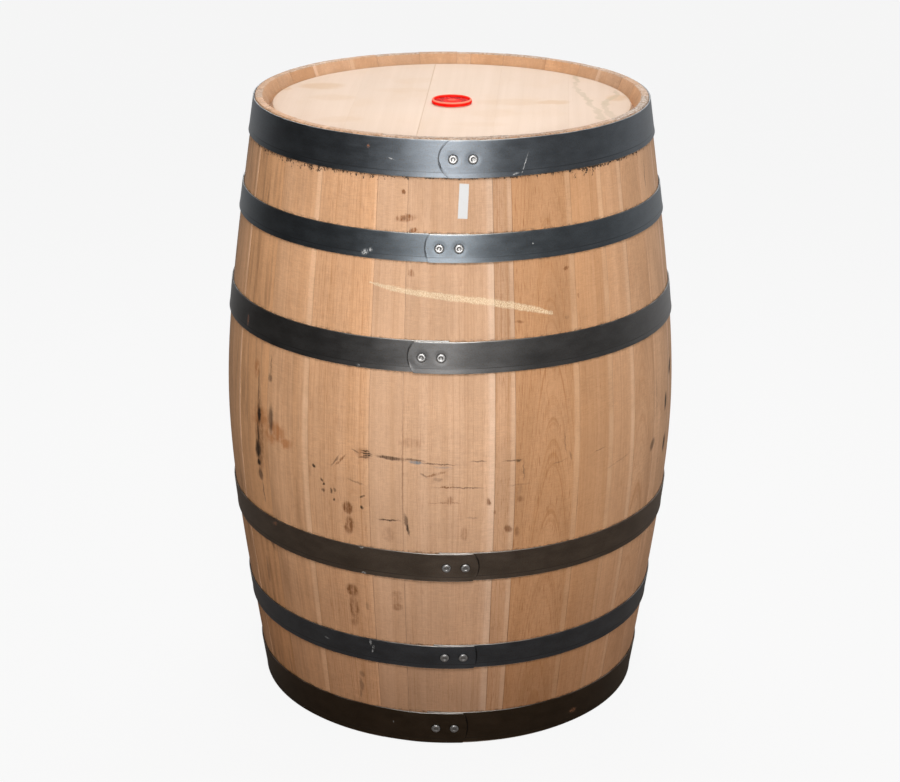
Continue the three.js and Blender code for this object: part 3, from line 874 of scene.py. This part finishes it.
# stains on the top head: x, y, half width, half depth in mm, turn in degrees, strength
HEAD_STAINS = [
    (-257, 76, 12, 14, 0, 0.35), (-203, 98, 40, 26, 5, 0.42), (-181, 18, 42, 24, 0, 0.16),
    (-166, -123, 40, 22, 10, 0.14), (-71, 73, 55, 18, 0, 0.12), (90, -5, 60, 26, 0, 0.20),
    (152, -5, 30, 16, 4, 0.42), (252, 27, 18, 26, -10, 0.45), (60, -80, 45, 30, 0, 0.12),
    (-60, 140, 40, 24, 20, 0.10), (40, -150, 50, 18, 0, 0.10),
]
# edges of dried puddles on the head: y, x, half width in mm
WATER_LINES = [
    [(-122, 221, 3), (-108, 219, 9), (-80, 218, 7), (-51, 216, 7), (-21, 206, 5), (12, 207, 6),
     (42, 202, 5), (72, 196, 5), (107, 192, 4), (140, 196, 4), (175, 198, 4), (226, 195, 3)],
    [(-112, 241, 4), (-96, 236, 8), (-51, 229, 5), (3, 233, 6), (35, 249, 5), (52, 256, 5), (84, 250, 3)],
]


def head_stains(s, place, blotch):
    """Soft stains and the edges of dried puddles on the top head."""
    soft = 0.0
    for x, y, wide, deep, turn, strength in HEAD_STAINS:
        centre = (x * MM, y * MM, HEIGHT - HEAD_FACE)
        rotation = (0, 0, math.radians(turn))
        one = s.ellipse(place, centre, rotation, (wide * MM, deep * MM, 1), 1.1, 0.55)
        soft = s.most(soft, s.times(one, strength))
    flat = s.split(place)
    line = 0.0
    for stations in WATER_LINES:
        stations = [tuple(c * MM for c in station) for station in stations]
        line = s.most(line, stroke_mask(s, flat[1], flat[0], stations))
    s.paint(s.times(soft, 1.25), rgb(0.60, 0.38, 0.20))
    s.paint(s.times(line, s.span(blotch, 0.3, 0.6, 0.30, 0.65)), rgb(0.50, 0.385, 0.255))


def head_edges_and_joints(s, axes, bands, blotch):
    """Darker towards the rim, a painted shade line where the face turns into the bevel, and dirt in the
    joints between boards.
    """
    radius = s.off_axis(s.split(s.position()))
    edge = s.times(s.span(radius, 0.262, 0.277), s.span(blotch, 0.3, 0.65, 0.35, 0.95))
    s.paint(s.times(edge, 0.7), HEAD_DIRT_AND_SHADE)
    # painted shade: a dark line where the flat face turns down into the bevel
    ring = s.span(s.apart(radius, BEVEL_SHADE_LINE), 1.2 * MM, 0.4 * MM)
    s.paint(s.times(ring, 0.60), HEAD_DIRT_AND_SHADE)
    for joint in BOARD_JOINTS:
        depth = s.span(bands, 0.3, 0.6, 0.40, 0.68) if joint == SEEN_JOINT else 0.04
        seam = s.times(s.span(s.apart(axes[0], joint), 1.1 * MM, 0.2 * MM), depth)
        s.paint(seam, rgb(0.52, 0.33, 0.19))


def oak_head(name, flipped):
    """Material of one board. The bottom head is darker and has no stains."""
    seed = tuple(rng.uniform(-40, 40, 3))
    value = float(rng.uniform(0.97, 1.02))
    base = [value * c for c in HEAD_OAK]
    if flipped:
        base = [0.8 * c for c in base]
    s = Shader(name)
    wood = s.grain()
    axes = s.split(wood)
    wander = s.minus(s.noise(wood, (10, 10, 3), 2, 0.5, seed), 0.5)
    fibre = s.join(s.plus(axes[0], s.times(wander, 0.012)), axes[1], axes[2])
    rings = s.noise(fibre, (380, 240, 3), 4, 0.6, seed)
    bands = s.noise(fibre, (60, 40, 1.4), 2, 0.5, seed)
    pores = s.noise(wood, (1300, 900, 40), 2, 0.6, seed)
    blotch = s.noise(wood, (13, 10, 9), 4, 0.6, seed)
    deep = tint(base, 0.80, 0.70, 0.56)
    s.colour = s.mix(s.span(bands, 0.3, 0.7), tint(base, 1.02, 1.02, 1.02), tint(base, 0.98, 0.97, 0.95))
    s.coat(rings, 0.5, 0.75, 0.09, deep)
    s.coat(pores, 0.62, 0.8, 0.18, deep)
    s.coat(blotch, 0.52, 0.70, 0.16, rgb(0.66, 0.45, 0.27))
    if not flipped:
        head_stains(s, s.stirred(s.position(), (45, 45, 45), (0.022, 0.022, 0)), blotch)
    head_edges_and_joints(s, axes, bands, blotch)
    s.shade(s.span(s.noise(wood, (900, 300, 420), 2, 0.7), 0.32, 0.68, 1.03, 0.955))
    height = s.plus(s.times(rings, -0.5), s.times(pores, -0.5))
    roughness = s.span(blotch, 0.2, 0.8, 0.55, 0.70)
    return s.finish(Roughness=roughness, Normal=s.bump(height, 0.00018, 0.5), Specular_IOR_Level=0.3)


# ---------------------------------------------------------------- hoops and rivets

# node, angle of the tail in degrees, the way it points, how far the under layer shows above it in
# mm, how far the middle of the tail reaches past its corners in mm, colour of the steel
# The top two hoops are tinted blue as a painted reflection of bluish light; the bottom head hoop is
# darkened as painted shade near the floor.
HOOPS = [
    ("top_head_hoop", -3.2, -1, 0.0, 13.5, (0.130, 0.148, 0.169)),
    ("top_quarter_hoop", -6.3, -1, 0.3, 4.5, (0.124, 0.144, 0.164)),
    ("top_belly_hoop", -10.0, -1, 1.6, 8.0, (0.132, 0.133, 0.135)),
    ("bottom_belly_hoop", 7.2, 1, 1.5, 8.0, (0.200, 0.162, 0.130)),
    ("bottom_quarter_hoop", 7.3, 1, 1.4, 3.0, (0.125, 0.138, 0.157)),
    ("bottom_head_hoop", 5.4, 1, 1.4, 6.0, (0.105, 0.077, 0.052)),
]
STEEL = 0.0018
LAYER_GAP = 0.0003
STAND_OFF = 0.00035
LAP = 0.0655
RIVET_EDGE = 0.019
RIVET_PITCH = 0.0275
RAMP = 0.070  # over this length the strip climbs onto its own covered end
SPRUNG = 0.016  # the last part of the tail stands off a little
SPRING = 0.0004
FLARE = 0.00055  # the lower edge stands out below the crease
FLARE_HEIGHT = 0.0078
BLUNT = 0.0012  # half height of a hoop's very end
BELOW_RIM = 0.0004  # the top hoop stays this far below the ends of the staves
RIVET_SEAT = 0.0002  # between a rivet and its hoop


def strip_section(height):
    """Cross-section of a hoop: distance out from the inner face, height above the lower edge."""
    e = 0.0006  # radius of the two outer corners
    arc = np.radians([30, 60, 90])
    crease = [0.0015, 0.004, 0.0068, 0.0082, 0.012]
    body = [height * 0.4, height * 0.6, height - 0.008, height - 0.003]
    outer = [(STEEL, v) for v in [e] + crease + body + [height - e]]
    top = [(STEEL - e + e * math.cos(a), height - e + e * math.sin(a)) for a in arc]
    bevel = 0.0002
    inner = [(bevel, height), (0.0, height - bevel), (0.0, height / 2), (0.0, bevel), (bevel, 0.0)]
    low = [(STEEL - e + e * math.cos(a), e - e * math.sin(a)) for a in reversed(arc)]
    return np.array(outer + top + inner + low)


def tail_radius(height, bulge):
    """Radius of the arc that the end of a hoop is cut to."""
    return (height * height / 4 + bulge * bulge) / (2 * bulge)


def hoop_stops(whole, height, bulge):
    """Stations along a hoop from its covered end to its tail: path length and layer lift."""
    bend = tail_radius(height, bulge)
    sines = np.linspace(0.0, height / 2 / bend, 14)
    tip = bend - bend * np.sqrt(1 - sines * sines)
    under = np.linspace(tip[-1] + 0.002, LAP, 10)
    body = np.linspace(LAP + 0.004, whole - RAMP - 0.004, 166)
    ramp = np.linspace(whole - RAMP, whole - 0.002, 17)
    lapped = np.linspace(whole + 0.002, whole + LAP - tip[-1] - 0.002, 14)
    stops = np.concatenate([tip, under, body, ramp, lapped, whole + LAP - tip[::-1]])
    rise = np.clip((stops - (whole - RAMP)) / RAMP, 0, 1)
    lift = (STEEL + LAYER_GAP) * rise * rise * (3 - 2 * rise)
    spring = np.clip((stops - (whole + LAP - SPRUNG)) / SPRUNG, 0, 1)
    return stops, lift + SPRING * spring * spring


def end_cut(from_end, height, bulge):
    """How much is cut from a hoop's upper and lower edge, so near to one of its ends."""
    if from_end >= bulge:
        return 0.0
    bend = tail_radius(height, bulge)
    half = math.sqrt(max(0.0, bend**2 - (bend - from_end) ** 2))
    return height / 2 - max(half, BLUNT)


def add_hoop(node, tail, way, peek, bulge, tone):
    low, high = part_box(node)
    height = high.z - low.z
    middle = (high.z + low.z) / 2
    radius = float(outer_radius(middle)) + STAND_OFF
    bulge *= MM
    whole = 2 * math.pi * radius
    length = whole + LAP
    section = strip_section(height)
    size = len(section)
    flare = FLARE * np.clip(1 - section[:, 1] / FLARE_HEIGHT, 0, 1)
    points, strip = [], []
    for stop, lift in zip(*hoop_stops(whole, height, bulge)):
        angle = math.radians(tail) + way * (stop - LAP) / radius
        cut = end_cut(min(stop, length - stop), height, bulge)
        squeezed = cut + section[:, 1] * (height - 2 * cut) / height
        rise = peek * MM * max(0.0, 1 - stop / (LAP + RAMP))
        z = np.minimum(low.z + squeezed + rise, HEIGHT - BELOW_RIM)
        out = outer_radius(z) + STAND_OFF + section[:, 0] + lift + flare
        points.append(round_barrel(out, angle, z))
        strip.append(np.stack([np.full(size, stop), squeezed, np.full(size, height)], 1))
    if way < 0:
        points.reverse()
        strip.reverse()
    faces = wall(len(points), size) + caps(len(points), size)
    name = f"steel_{node}"
    steel = hoop_steel(name, node, height, length, tail_radius(height, bulge), tone)
    add_piece(name, points, faces, node, steel, np.concatenate(strip), 50)
    face = STEEL * 2 + LAYER_GAP + STAND_OFF
    for order, letter in enumerate("ab"):
        angle = math.radians(tail) - way * (RIVET_EDGE + order * RIVET_PITCH) / radius
        add_rivet(f"{node}_rivet_{letter}", angle, middle, float(outer_radius(middle)) + face)


RIVET_PROFILE = [  # radius, height in mm
    (0, -3.6), (3.0, -3.6), (3.0, -0.4), (6.2, -0.1), (6.65, 0.25), (6.7, 0.9), (6.45, 1.6),
    (5.9, 2.15), (5.1, 2.5), (4.2, 2.62), (3.4, 2.55), (2.7, 2.25), (2.2, 1.95), (1.4, 1.8),
    (0.5, 1.85), (0, 1.95),
]


def add_rivet(node, angle, z, radius):
    """A rivet square to the slope of the stave, and a little out of round."""
    local, faces = lathe(np.array(RIVET_PROFILE) * MM, 40, 0.012, angle * 40)
    lean = math.atan(-outer_slope(z))
    out = np.array([math.sin(angle) * math.cos(lean), -math.cos(angle) * math.cos(lean), math.sin(lean)])
    side = np.array([math.cos(angle), math.sin(angle), 0.0])
    up = np.cross(out, side)
    seat = round_barrel(radius, angle, z) + out * RIVET_SEAT
    placed = seat + local[:, :1] * side + local[:, 1:2] * up + local[:, 2:] * out
    add_piece(f"zinc_{node}", placed, faces, node, ZINC, local, 60)


# marks on each hoop: kind, angle in degrees, then the rest in mm but for the last: height above
# the lower edge, half length, half height, turn in degrees
FLECKS = {
    "top_head_hoop": [("white", 19.6, 16, 0.8, 16, -24), ("white", 17.0, 3.5, 6, 1.2, 12),
                      ("white", -15.8, 23, 6, 0.8, -16), ("rust", -22.6, 38, 3.0, 2.6, 0)],
    "top_quarter_hoop": [("white", -22.0, 8, 6, 4, 20), ("white", -20.5, 12, 3, 3, 0),
                         ("white", 21.0, 22, 1, 2, 0)],
    "top_belly_hoop": [("rust", -62.0, 17, 3, 9, 0), ("white", -22.4, 3, 2, 1.5, 0)],
    "bottom_belly_hoop": [("rust", -50.0, 38, 6, 3, 20), ("white", -21.6, 2, 4, 1.5, 0),
                          ("white", -22.0, 44, 4, 1.5, 0)],
    "bottom_quarter_hoop": [("white", -21.2, 34, 2, 5, 10), ("white", -20.4, 26, 2, 3, -20),
                            ("white", -20.8, 19, 1.4, 3, 0), ("white", -35.0, 22, 5, 1.2, -10)],
    "bottom_head_hoop": [("white", -15.8, 32, 2, 1.4, 0), ("rust", 40.0, 20, 8, 4, 0)],
}
FLECK_COLOURS = {"white": rgb(0.46, 0.47, 0.47), "rust": rgb(0.26, 0.10, 0.045)}


def rolled_steel(s, strip, cloud, fine, drawn, tone):
    """Clouds, drawing lines and a brown patina in the steel's own colour."""
    light, dark, deep, bright = (tint(tone, k, k, k) for k in (1.15, 0.85, 0.55, 1.45))
    s.colour = s.mix(s.span(cloud, 0.30, 0.72), dark, light)
    s.coat(drawn, 0.5, 0.8, 0.25, bright)
    s.coat(fine, 0.52, 0.70, 0.45, deep)
    patina = s.noise(strip, (420, 420, 1), 3, 0.65)
    s.coat(patina, 0.52, 0.66, 0.40, tint(tone, 0.95, 0.68, 0.46))
    s.coat(patina, 0.46, 0.34, 0.35, light)


def hoop_edges(s, axes, cloud, height, length, sheen):
    """Bright bare steel on the sheared edges, painted lighter as a highlight where light catches them,
    most of all at the lap, and painted shade along the crease above the lower edge.
    """
    off = s.math("MINIMUM", axes[1], s.minus(height, axes[1]))
    near_lap = s.most(s.span(axes[0], 0.20, 0.12), s.span(axes[0], length - 0.16, length - 0.10))
    bare = s.plus(s.times(near_lap, sheen), s.span(cloud, 0.34, 0.66, 0.04, 0.40))
    bare = s.math("MULTIPLY", s.span(off, 1.1 * MM, 0.3 * MM), bare, clamp=True)
    # painted highlight: light grey on the edges, where the light catches them
    s.paint(bare, rgb(0.62, 0.62, 0.60))
    # painted shade: a dark line along the crease above the lower edge
    crease = s.span(s.apart(axes[1], 7.4 * MM), 0.9 * MM, 0.2 * MM)
    s.paint(s.times(crease, s.span(cloud, 0.34, 0.60, 0.10, 0.55)), rgb(0.045, 0.045, 0.047))


def hoop_crack(s, axes, high, height, bend, rivets):
    """Painted shadow in the crack round the tail, and painted shade round the rivets where they sit on
    the hoop.
    """
    cut = s.minus(bend, s.math("SQRT", s.minus(bend * bend, s.times(high, high))))
    crack = s.math("ABSOLUTE", s.plus(s.minus(axes[0], LAP + 0.0010), cut))
    inside = s.span(s.math("ABSOLUTE", high), height / 2, 0.2 * height)
    crack = s.times(s.span(crack, 2.0 * MM, 0.5 * MM), inside, s.math("LESS_THAN", axes[0], LAP + 0.01))
    # painted shade: a dark ring round each rivet, where it sits on the hoop
    for distance in rivets:
        crack = s.most(crack, s.span(distance, 7.9 * MM, 6.6 * MM))
    s.paint(s.times(crack, 0.75), rgb(0.018, 0.017, 0.017))


def hoop_flecks(s, place, marks):
    """Flecks of old paint and rust. Gives back how much of the metal is left bare."""
    metal = 1.0
    speck = s.span(s.noise(place, (480, 1, 480), 3, 0.7), 0.44, 0.56)
    for kind, colour in FLECK_COLOURS.items():
        mask = 0.0
        for mark in marks:
            if mark[0] == kind:
                mask = s.most(mask, mark_mask(s, place, *mark[1:]))
        mask = s.times(mask, speck)
        s.paint(mask, colour)
        metal = s.times(metal, s.minus(1.0, mask))
    return metal


def hoop_steel(name, node, height, length, bend, tone):
    """Material of one hoop, by length along the strip and height above its lower edge."""
    s = Shader(name)
    strip = s.grain()
    axes = s.split(strip)
    cloud = s.noise(strip, (22, 42, 1), 5, 0.62)
    fine = s.noise(strip, (900, 900, 1), 2, 0.6)
    drawn = s.noise(strip, (9, 900, 1), 3, 0.6)
    high = s.minus(axes[1], height / 2)
    rivets = []
    for order in range(2):
        centre = s.minus(axes[0], length - RIVET_EDGE - order * RIVET_PITCH)
        rivets.append(s.length(s.join(centre, high, 0.0)))
    rolled_steel(s, strip, cloud, fine, drawn, tone)
    hoop_edges(s, axes, cloud, height, length, 0.2 if node == "top_head_hoop" else 0.6)
    hoop_crack(s, axes, high, height, bend, rivets)
    place = s.join(s.arc(s.split(s.position())), 0.0, axes[1])
    metal = hoop_flecks(s, place, FLECKS[node])
    roughness = s.plus(s.span(cloud, 0.25, 0.75, 0.42, 0.48), s.times(s.span(drawn, 0.4, 0.7), 0.05))
    relief = s.plus(s.times(cloud, 0.5), s.times(s.plus(drawn, fine), 0.12))
    for distance in rivets:
        relief = s.plus(relief, s.span(distance, 4 * MM, 13 * MM, -3.0, 0.0))
    normal = s.bump(relief, 0.0004, 0.30)
    return s.finish(Roughness=roughness, Metallic=metal, Normal=normal, Specular_IOR_Level=0.5)


def zinc():
    s = Shader("zinc_plate")
    place = s.grain()
    axes = s.split(place)
    cloud = s.noise(place, (420, 420, 420), 3, 0.6)
    radius = s.off_axis(axes)
    s.colour = s.mix(s.span(cloud, 0.3, 0.7), rgb(0.28, 0.28, 0.28), rgb(0.47, 0.47, 0.47))
    s.coat(radius, 3.6 * MM, 2.6 * MM, 0.36, rgb(0.11, 0.107, 0.10))
    # painted shade: near black on the underside and the lowest edge of the head, where it sits on the
    # hoop
    s.paint(s.span(axes[2], 0.6 * MM, -0.2 * MM), rgb(0.06, 0.055, 0.05))
    roughness = s.span(cloud, 0.3, 0.7, 0.36, 0.50)
    return s.finish(Metallic=0.85, Roughness=roughness, Normal=s.bump(cloud, 0.0002, 0.4))


ZINC = zinc()


# ---------------------------------------------------------------- bung

BUNG_PROFILE = [  # radius, height above the head in mm
    (0, -34), (17.5, -34), (19.6, -33.6), (20.8, -32.6), (21.5, -31.4), (22.2, -22), (23.2, -11),
    (24.3, -0.8), (24.5, -0.3), (25.0, 0.05), (29.3, 0.05), (30.0, 0.3), (30.3, 0.9), (30.4, 2.0),
    (30.4, 3.8), (30.25, 4.7), (29.9, 5.4), (29.4, 6.0), (28.8, 6.4), (28.2, 6.5), (27.8, 6.35),
    (27.4, 5.9), (27.1, 4.9), (26.8, 3.7), (26.2, 3.2), (25.2, 3.05), (16, 3.05), (9.4, 3.05), (8.2, 3.2),
    (7.4, 3.6), (6.8, 4.2), (6.0, 4.6), (3.4, 4.65), (2.6, 4.5), (2.0, 4.0), (1.4, 3.8), (0, 3.8),
]


def add_bung():
    points, faces = lathe(np.array(BUNG_PROFILE) * MM, 96)
    middle = sum(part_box("bung"), Vector()) / 2
    placed = points + (middle.x, middle.y, HEIGHT - HEAD_FACE + GAP)
    add_piece("plastic_bung", placed, faces, "bung", red_plastic(), points, 50)


def red_plastic():
    """Red plastic: a painted highlight on the lip, scuffs, grime in the dish away from its middle, and a
    painted highlight on the boss in its middle.
    """
    s = Shader("red_plastic")
    place = s.grain()
    axes = s.split(place)
    cloud = s.noise(place, (90, 90, 90), 4, 0.6)
    scuff = s.noise(place, (700, 260, 700), 3, 0.7)
    speck = s.noise(place, (420, 190, 420), 3, 0.7)
    radius = s.off_axis(axes)
    s.colour = s.mix(s.span(cloud, 0.3, 0.7), rgb(0.93, 0.003, 0.001), rgb(1.0, 0.020, 0.010))
    # painted highlight: pale pink on the lip
    lip = s.times(s.span(radius, 27.0 * MM, 28.0 * MM), s.span(axes[2], 3.9 * MM, 5.6 * MM))
    s.paint(s.times(lip, 0.75), rgb(1.0, 0.33, 0.22))
    s.coat(scuff, 0.58, 0.76, 0.22, rgb(1.0, 0.07, 0.04))
    dish = s.times(s.span(axes[2], 2.0 * MM, 2.8 * MM), s.span(radius, 27.2 * MM, 26.2 * MM))
    grime = s.times(dish, s.span(radius, 6 * MM, 17 * MM), s.span(speck, 0.36, 0.56), 0.95)
    s.paint(grime, rgb(0.33, 0.0, 0.0))
    # painted highlight: pink on the boss in the middle of the dish
    s.paint(s.times(dish, s.span(radius, 8.5 * MM, 5.0 * MM), 0.45), rgb(1.0, 0.20, 0.13))
    roughness = s.span(cloud, 0.3, 0.7, 0.50, 0.62)
    return s.finish(Roughness=roughness, Normal=s.bump(scuff, 0.00012, 0.3), Specular_IOR_Level=0.04)


# ---------------------------------------------------------------- label

LABEL_WIDTH = 0.0135
LABEL_HEIGHT = 0.0485
LABEL_TILT = 3.0
PAPER = 0.00014  # thickness
PASTE = 0.00008  # between paper and wood
CURL = 0.0005  # how far the lifting corner stands off
RIPPLE = 0.00004


def add_label():
    """A thin sheet that follows the stave, with one corner just lifting."""
    across, up = 15, 33
    middle = sum(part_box("paper_label"), Vector()) / 2
    uu, vv = np.meshgrid(np.linspace(-0.5, 0.5, across), np.linspace(-0.5, 0.5, up))
    tilt = math.radians(LABEL_TILT)
    x, z = uu * LABEL_WIDTH, vv * LABEL_HEIGHT
    height = middle.z + z * math.cos(tilt) - x * math.sin(tilt)
    arc = x * math.cos(tilt) + z * math.sin(tilt)
    angle = math.atan2(middle.x, -middle.y) + arc / float(outer_radius(middle.z))
    curl = CURL * np.clip((uu + vv - 0.72) / 0.28, 0, 1) ** 2
    ripple = RIPPLE * np.sin(vv * 17 + uu * 5)
    back = outer_radius(height) + PASTE + curl + ripple
    points = [round_barrel(radius, angle, height) for radius in (back + PAPER, back)]
    grid = np.arange(across * up).reshape(up, across)
    count = grid.size
    faces = []
    corners = (grid[:-1, :-1], grid[:-1, 1:], grid[1:, 1:], grid[1:, :-1])
    for a, b, c, d in zip(*[corner.ravel().tolist() for corner in corners]):
        faces += [(a, b, c, d), (count + a, count + d, count + c, count + b)]
    border = np.concatenate([grid[0], grid[1:, -1], grid[-1, -2::-1], grid[-2:0:-1, 0]]).tolist()
    for here, there in zip(border, border[1:] + border[:1]):
        faces.append((here, count + here, count + there, there))
    grain = np.stack([np.tile(uu.ravel(), 2), np.tile(vv.ravel(), 2), np.zeros(2 * count)], 1)
    add_piece("sticker_paper_label", points, faces, "paper_label", paper(), grain, 40)


def paper():
    s = Shader("label_paper")
    place = s.grain()
    axes = s.split(place)
    fibre = s.noise(place, (60, 210, 1), 4, 0.7)
    cloud = s.noise(place, (2.5, 7, 1), 3, 0.6)
    off = s.most(s.math("ABSOLUTE", axes[0]), s.math("ABSOLUTE", axes[1]))
    edge = s.times(s.span(off, 0.44, 0.5), s.span(cloud, 0.35, 0.6))
    s.colour = s.mix(s.span(fibre, 0.3, 0.7), rgb(0.50, 0.51, 0.52), rgb(0.56, 0.57, 0.58))
    s.paint(s.times(edge, 0.35), rgb(0.52, 0.45, 0.37))
    s.coat(cloud, 0.5, 0.75, 0.3, rgb(0.48, 0.465, 0.44))
    roughness = s.span(fibre, 0.3, 0.7, 0.6, 0.75)
    return s.finish(Roughness=roughness, Normal=s.bump(fibre, 0.00005, 0.4))


# ---------------------------------------------------------------- studio

BACKDROP = (0.35, 1.0, 0.0)  # the white walls are this way
FLOOR_GAP = 0.0005
LENS = 86.56
SENSOR = 36.0
CAMERA_PLACE = (0.0, -3.2220, 1.6681)
CAMERA_DIP = 20.455  # degrees below level
CAMERA_ROLL = 0.362


def add_light(kind, name, location, target, power, colour, mirrored=True, **settings):
    """A light aimed at a point; one that isn't mirrored leaves no highlight."""
    data = bpy.data.lights.new(name, kind)
    data.energy = power
    data.color = colour
    for key, value in settings.items():
        setattr(data, key, value)
    light = bpy.data.objects.new(name, data)
    light.location = location
    aim = Vector(target) - Vector(location)
    light.rotation_mode = "QUATERNION"
    light.rotation_quaternion = aim.to_track_quat("-Z", "Y")
    light.visible_glossy = mirrored
    bpy.context.scene.collection.objects.link(light)


def white_walls():
    """White walls behind and to the right and a dim room in front. The camera sees plain white."""
    world = bpy.data.worlds.new("studio")
    world.use_nodes = True
    bpy.context.scene.world = world
    nodes, links = world.node_tree.nodes, world.node_tree.links
    where = nodes.new("ShaderNodeTexCoord")
    lean = nodes.new("ShaderNodeVectorMath")
    lean.operation = "DOT_PRODUCT"
    lean.inputs[1].default_value = BACKDROP
    links.new(where.outputs["Generated"], lean.inputs[0])
    walls = nodes.new("ShaderNodeMapRange")
    walls.interpolation_type = "SMOOTHSTEP"
    for key, value in {1: 0.15, 2: 1.10, 3: 0.055, 4: 0.92}.items():
        walls.inputs[key].default_value = value
    links.new(lean.outputs["Value"], walls.inputs[0])
    ray = nodes.new("ShaderNodeLightPath")
    seen = nodes.new("ShaderNodeMix")
    seen.inputs[3].default_value = 0.93
    links.new(ray.outputs["Is Camera Ray"], seen.inputs[0])
    links.new(walls.outputs[0], seen.inputs[2])
    links.new(seen.outputs[0], nodes["Background"].inputs["Color"])


def studio_floor():
    """A floor that the camera sees as white and the barrel as a dim room with a white back."""
    bpy.ops.mesh.primitive_circle_add(vertices=64, radius=40, fill_type="NGON")
    floor = bpy.context.object
    floor.name = "studio_floor"
    floor.location.z = cad_box[0].z - FLOOR_GAP
    s = Shader("studio_floor")
    s.tree.nodes.remove(s.surface)
    lit = s.node("BsdfDiffuse", {"Color": rgb(0.045, 0.045, 0.045)})
    glow = s.node("Emission", {"Color": rgb(0.905, 0.905, 0.905), "Strength": 1.0})
    shown = s.node("AddShader", {0: lit, 1: glow})
    dim = s.node("BsdfDiffuse", {"Color": rgb(0.18, 0.160, 0.145)})
    place = s.node("VectorMath", {0: s.position(), 1: BACKDROP}, 1, operation="DOT_PRODUCT")
    behind = s.span(place, 0.8, 2.2, 0.0, 0.60)
    white = s.node("Emission", {"Color": rgb(1.0, 1.0, 1.0), "Strength": behind})
    room = s.node("AddShader", {0: dim, 1: white})
    mixed = s.node("MixShader", {0: s.node("LightPath"), 1: room, 2: shown})
    s.tree.links.new(mixed, s.tree.nodes["Material Output"].inputs["Surface"])
    floor.data.materials.append(s.material)


def lights():
    warm, white = (1.0, 0.975, 0.95), (1.0, 1.0, 1.0)
    middle, front = (0, 0, 0.6), (0, 0, 0.74)
    add_light("AREA", "key", (0.05, -2.1, 2.45), middle, 40, warm, shape="DISK", size=0.9)
    add_light("SPOT", "front", (-0.15, -3.4, 1.45), front, 325, warm, shadow_soft_size=0.55,
              spot_size=math.radians(36), spot_blend=1.0)
    add_light("AREA", "right", (2.6, -1.5, 1.3), middle, 21, warm, False, shape="DISK", size=2.2)
    add_light("AREA", "left", (-2.6, -0.5, 1.2), middle, 9, warm, False, shape="DISK", size=2.0)
    add_light("AREA", "sheen", (2.6, -1.5, 1.1), middle, 2.8, warm, shape="DISK", size=2.2)
    add_light("AREA", "top", (0.0, 1.2, 2.35), (0, 0.05, 0.93), 31, white, shape="DISK", size=1.6)


def camera():
    data = bpy.data.cameras.new("camera")
    data.lens = LENS
    data.sensor_width = SENSOR
    view = bpy.data.objects.new("camera", data)
    bpy.context.scene.collection.objects.link(view)
    tilt = Matrix.Rotation(math.radians(90 - CAMERA_DIP), 4, "X")
    roll = Matrix.Rotation(math.radians(CAMERA_ROLL), 4, "Z")
    view.matrix_world = Matrix.Translation(CAMERA_PLACE) @ tilt @ roll
    bpy.context.scene.camera = view


# ---------------------------------------------------------------- build

for hoop in HOOPS:
    low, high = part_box(hoop[0])
    HOOP_EDGES.append((low.z, high.z))

bpy.context.scene.view_settings.view_transform = "Standard"
camera()
white_walls()
studio_floor()
lights()
outline = stave_outline()
for number in range(1, 30):
    add_stave(f"stave_{number:02d}", number, outline)
for prefix in ("top", "bottom"):
    for number in range(1, 6):
        add_board(prefix, number)
for hoop in HOOPS:
    add_hoop(*hoop)
add_bung()
add_label()
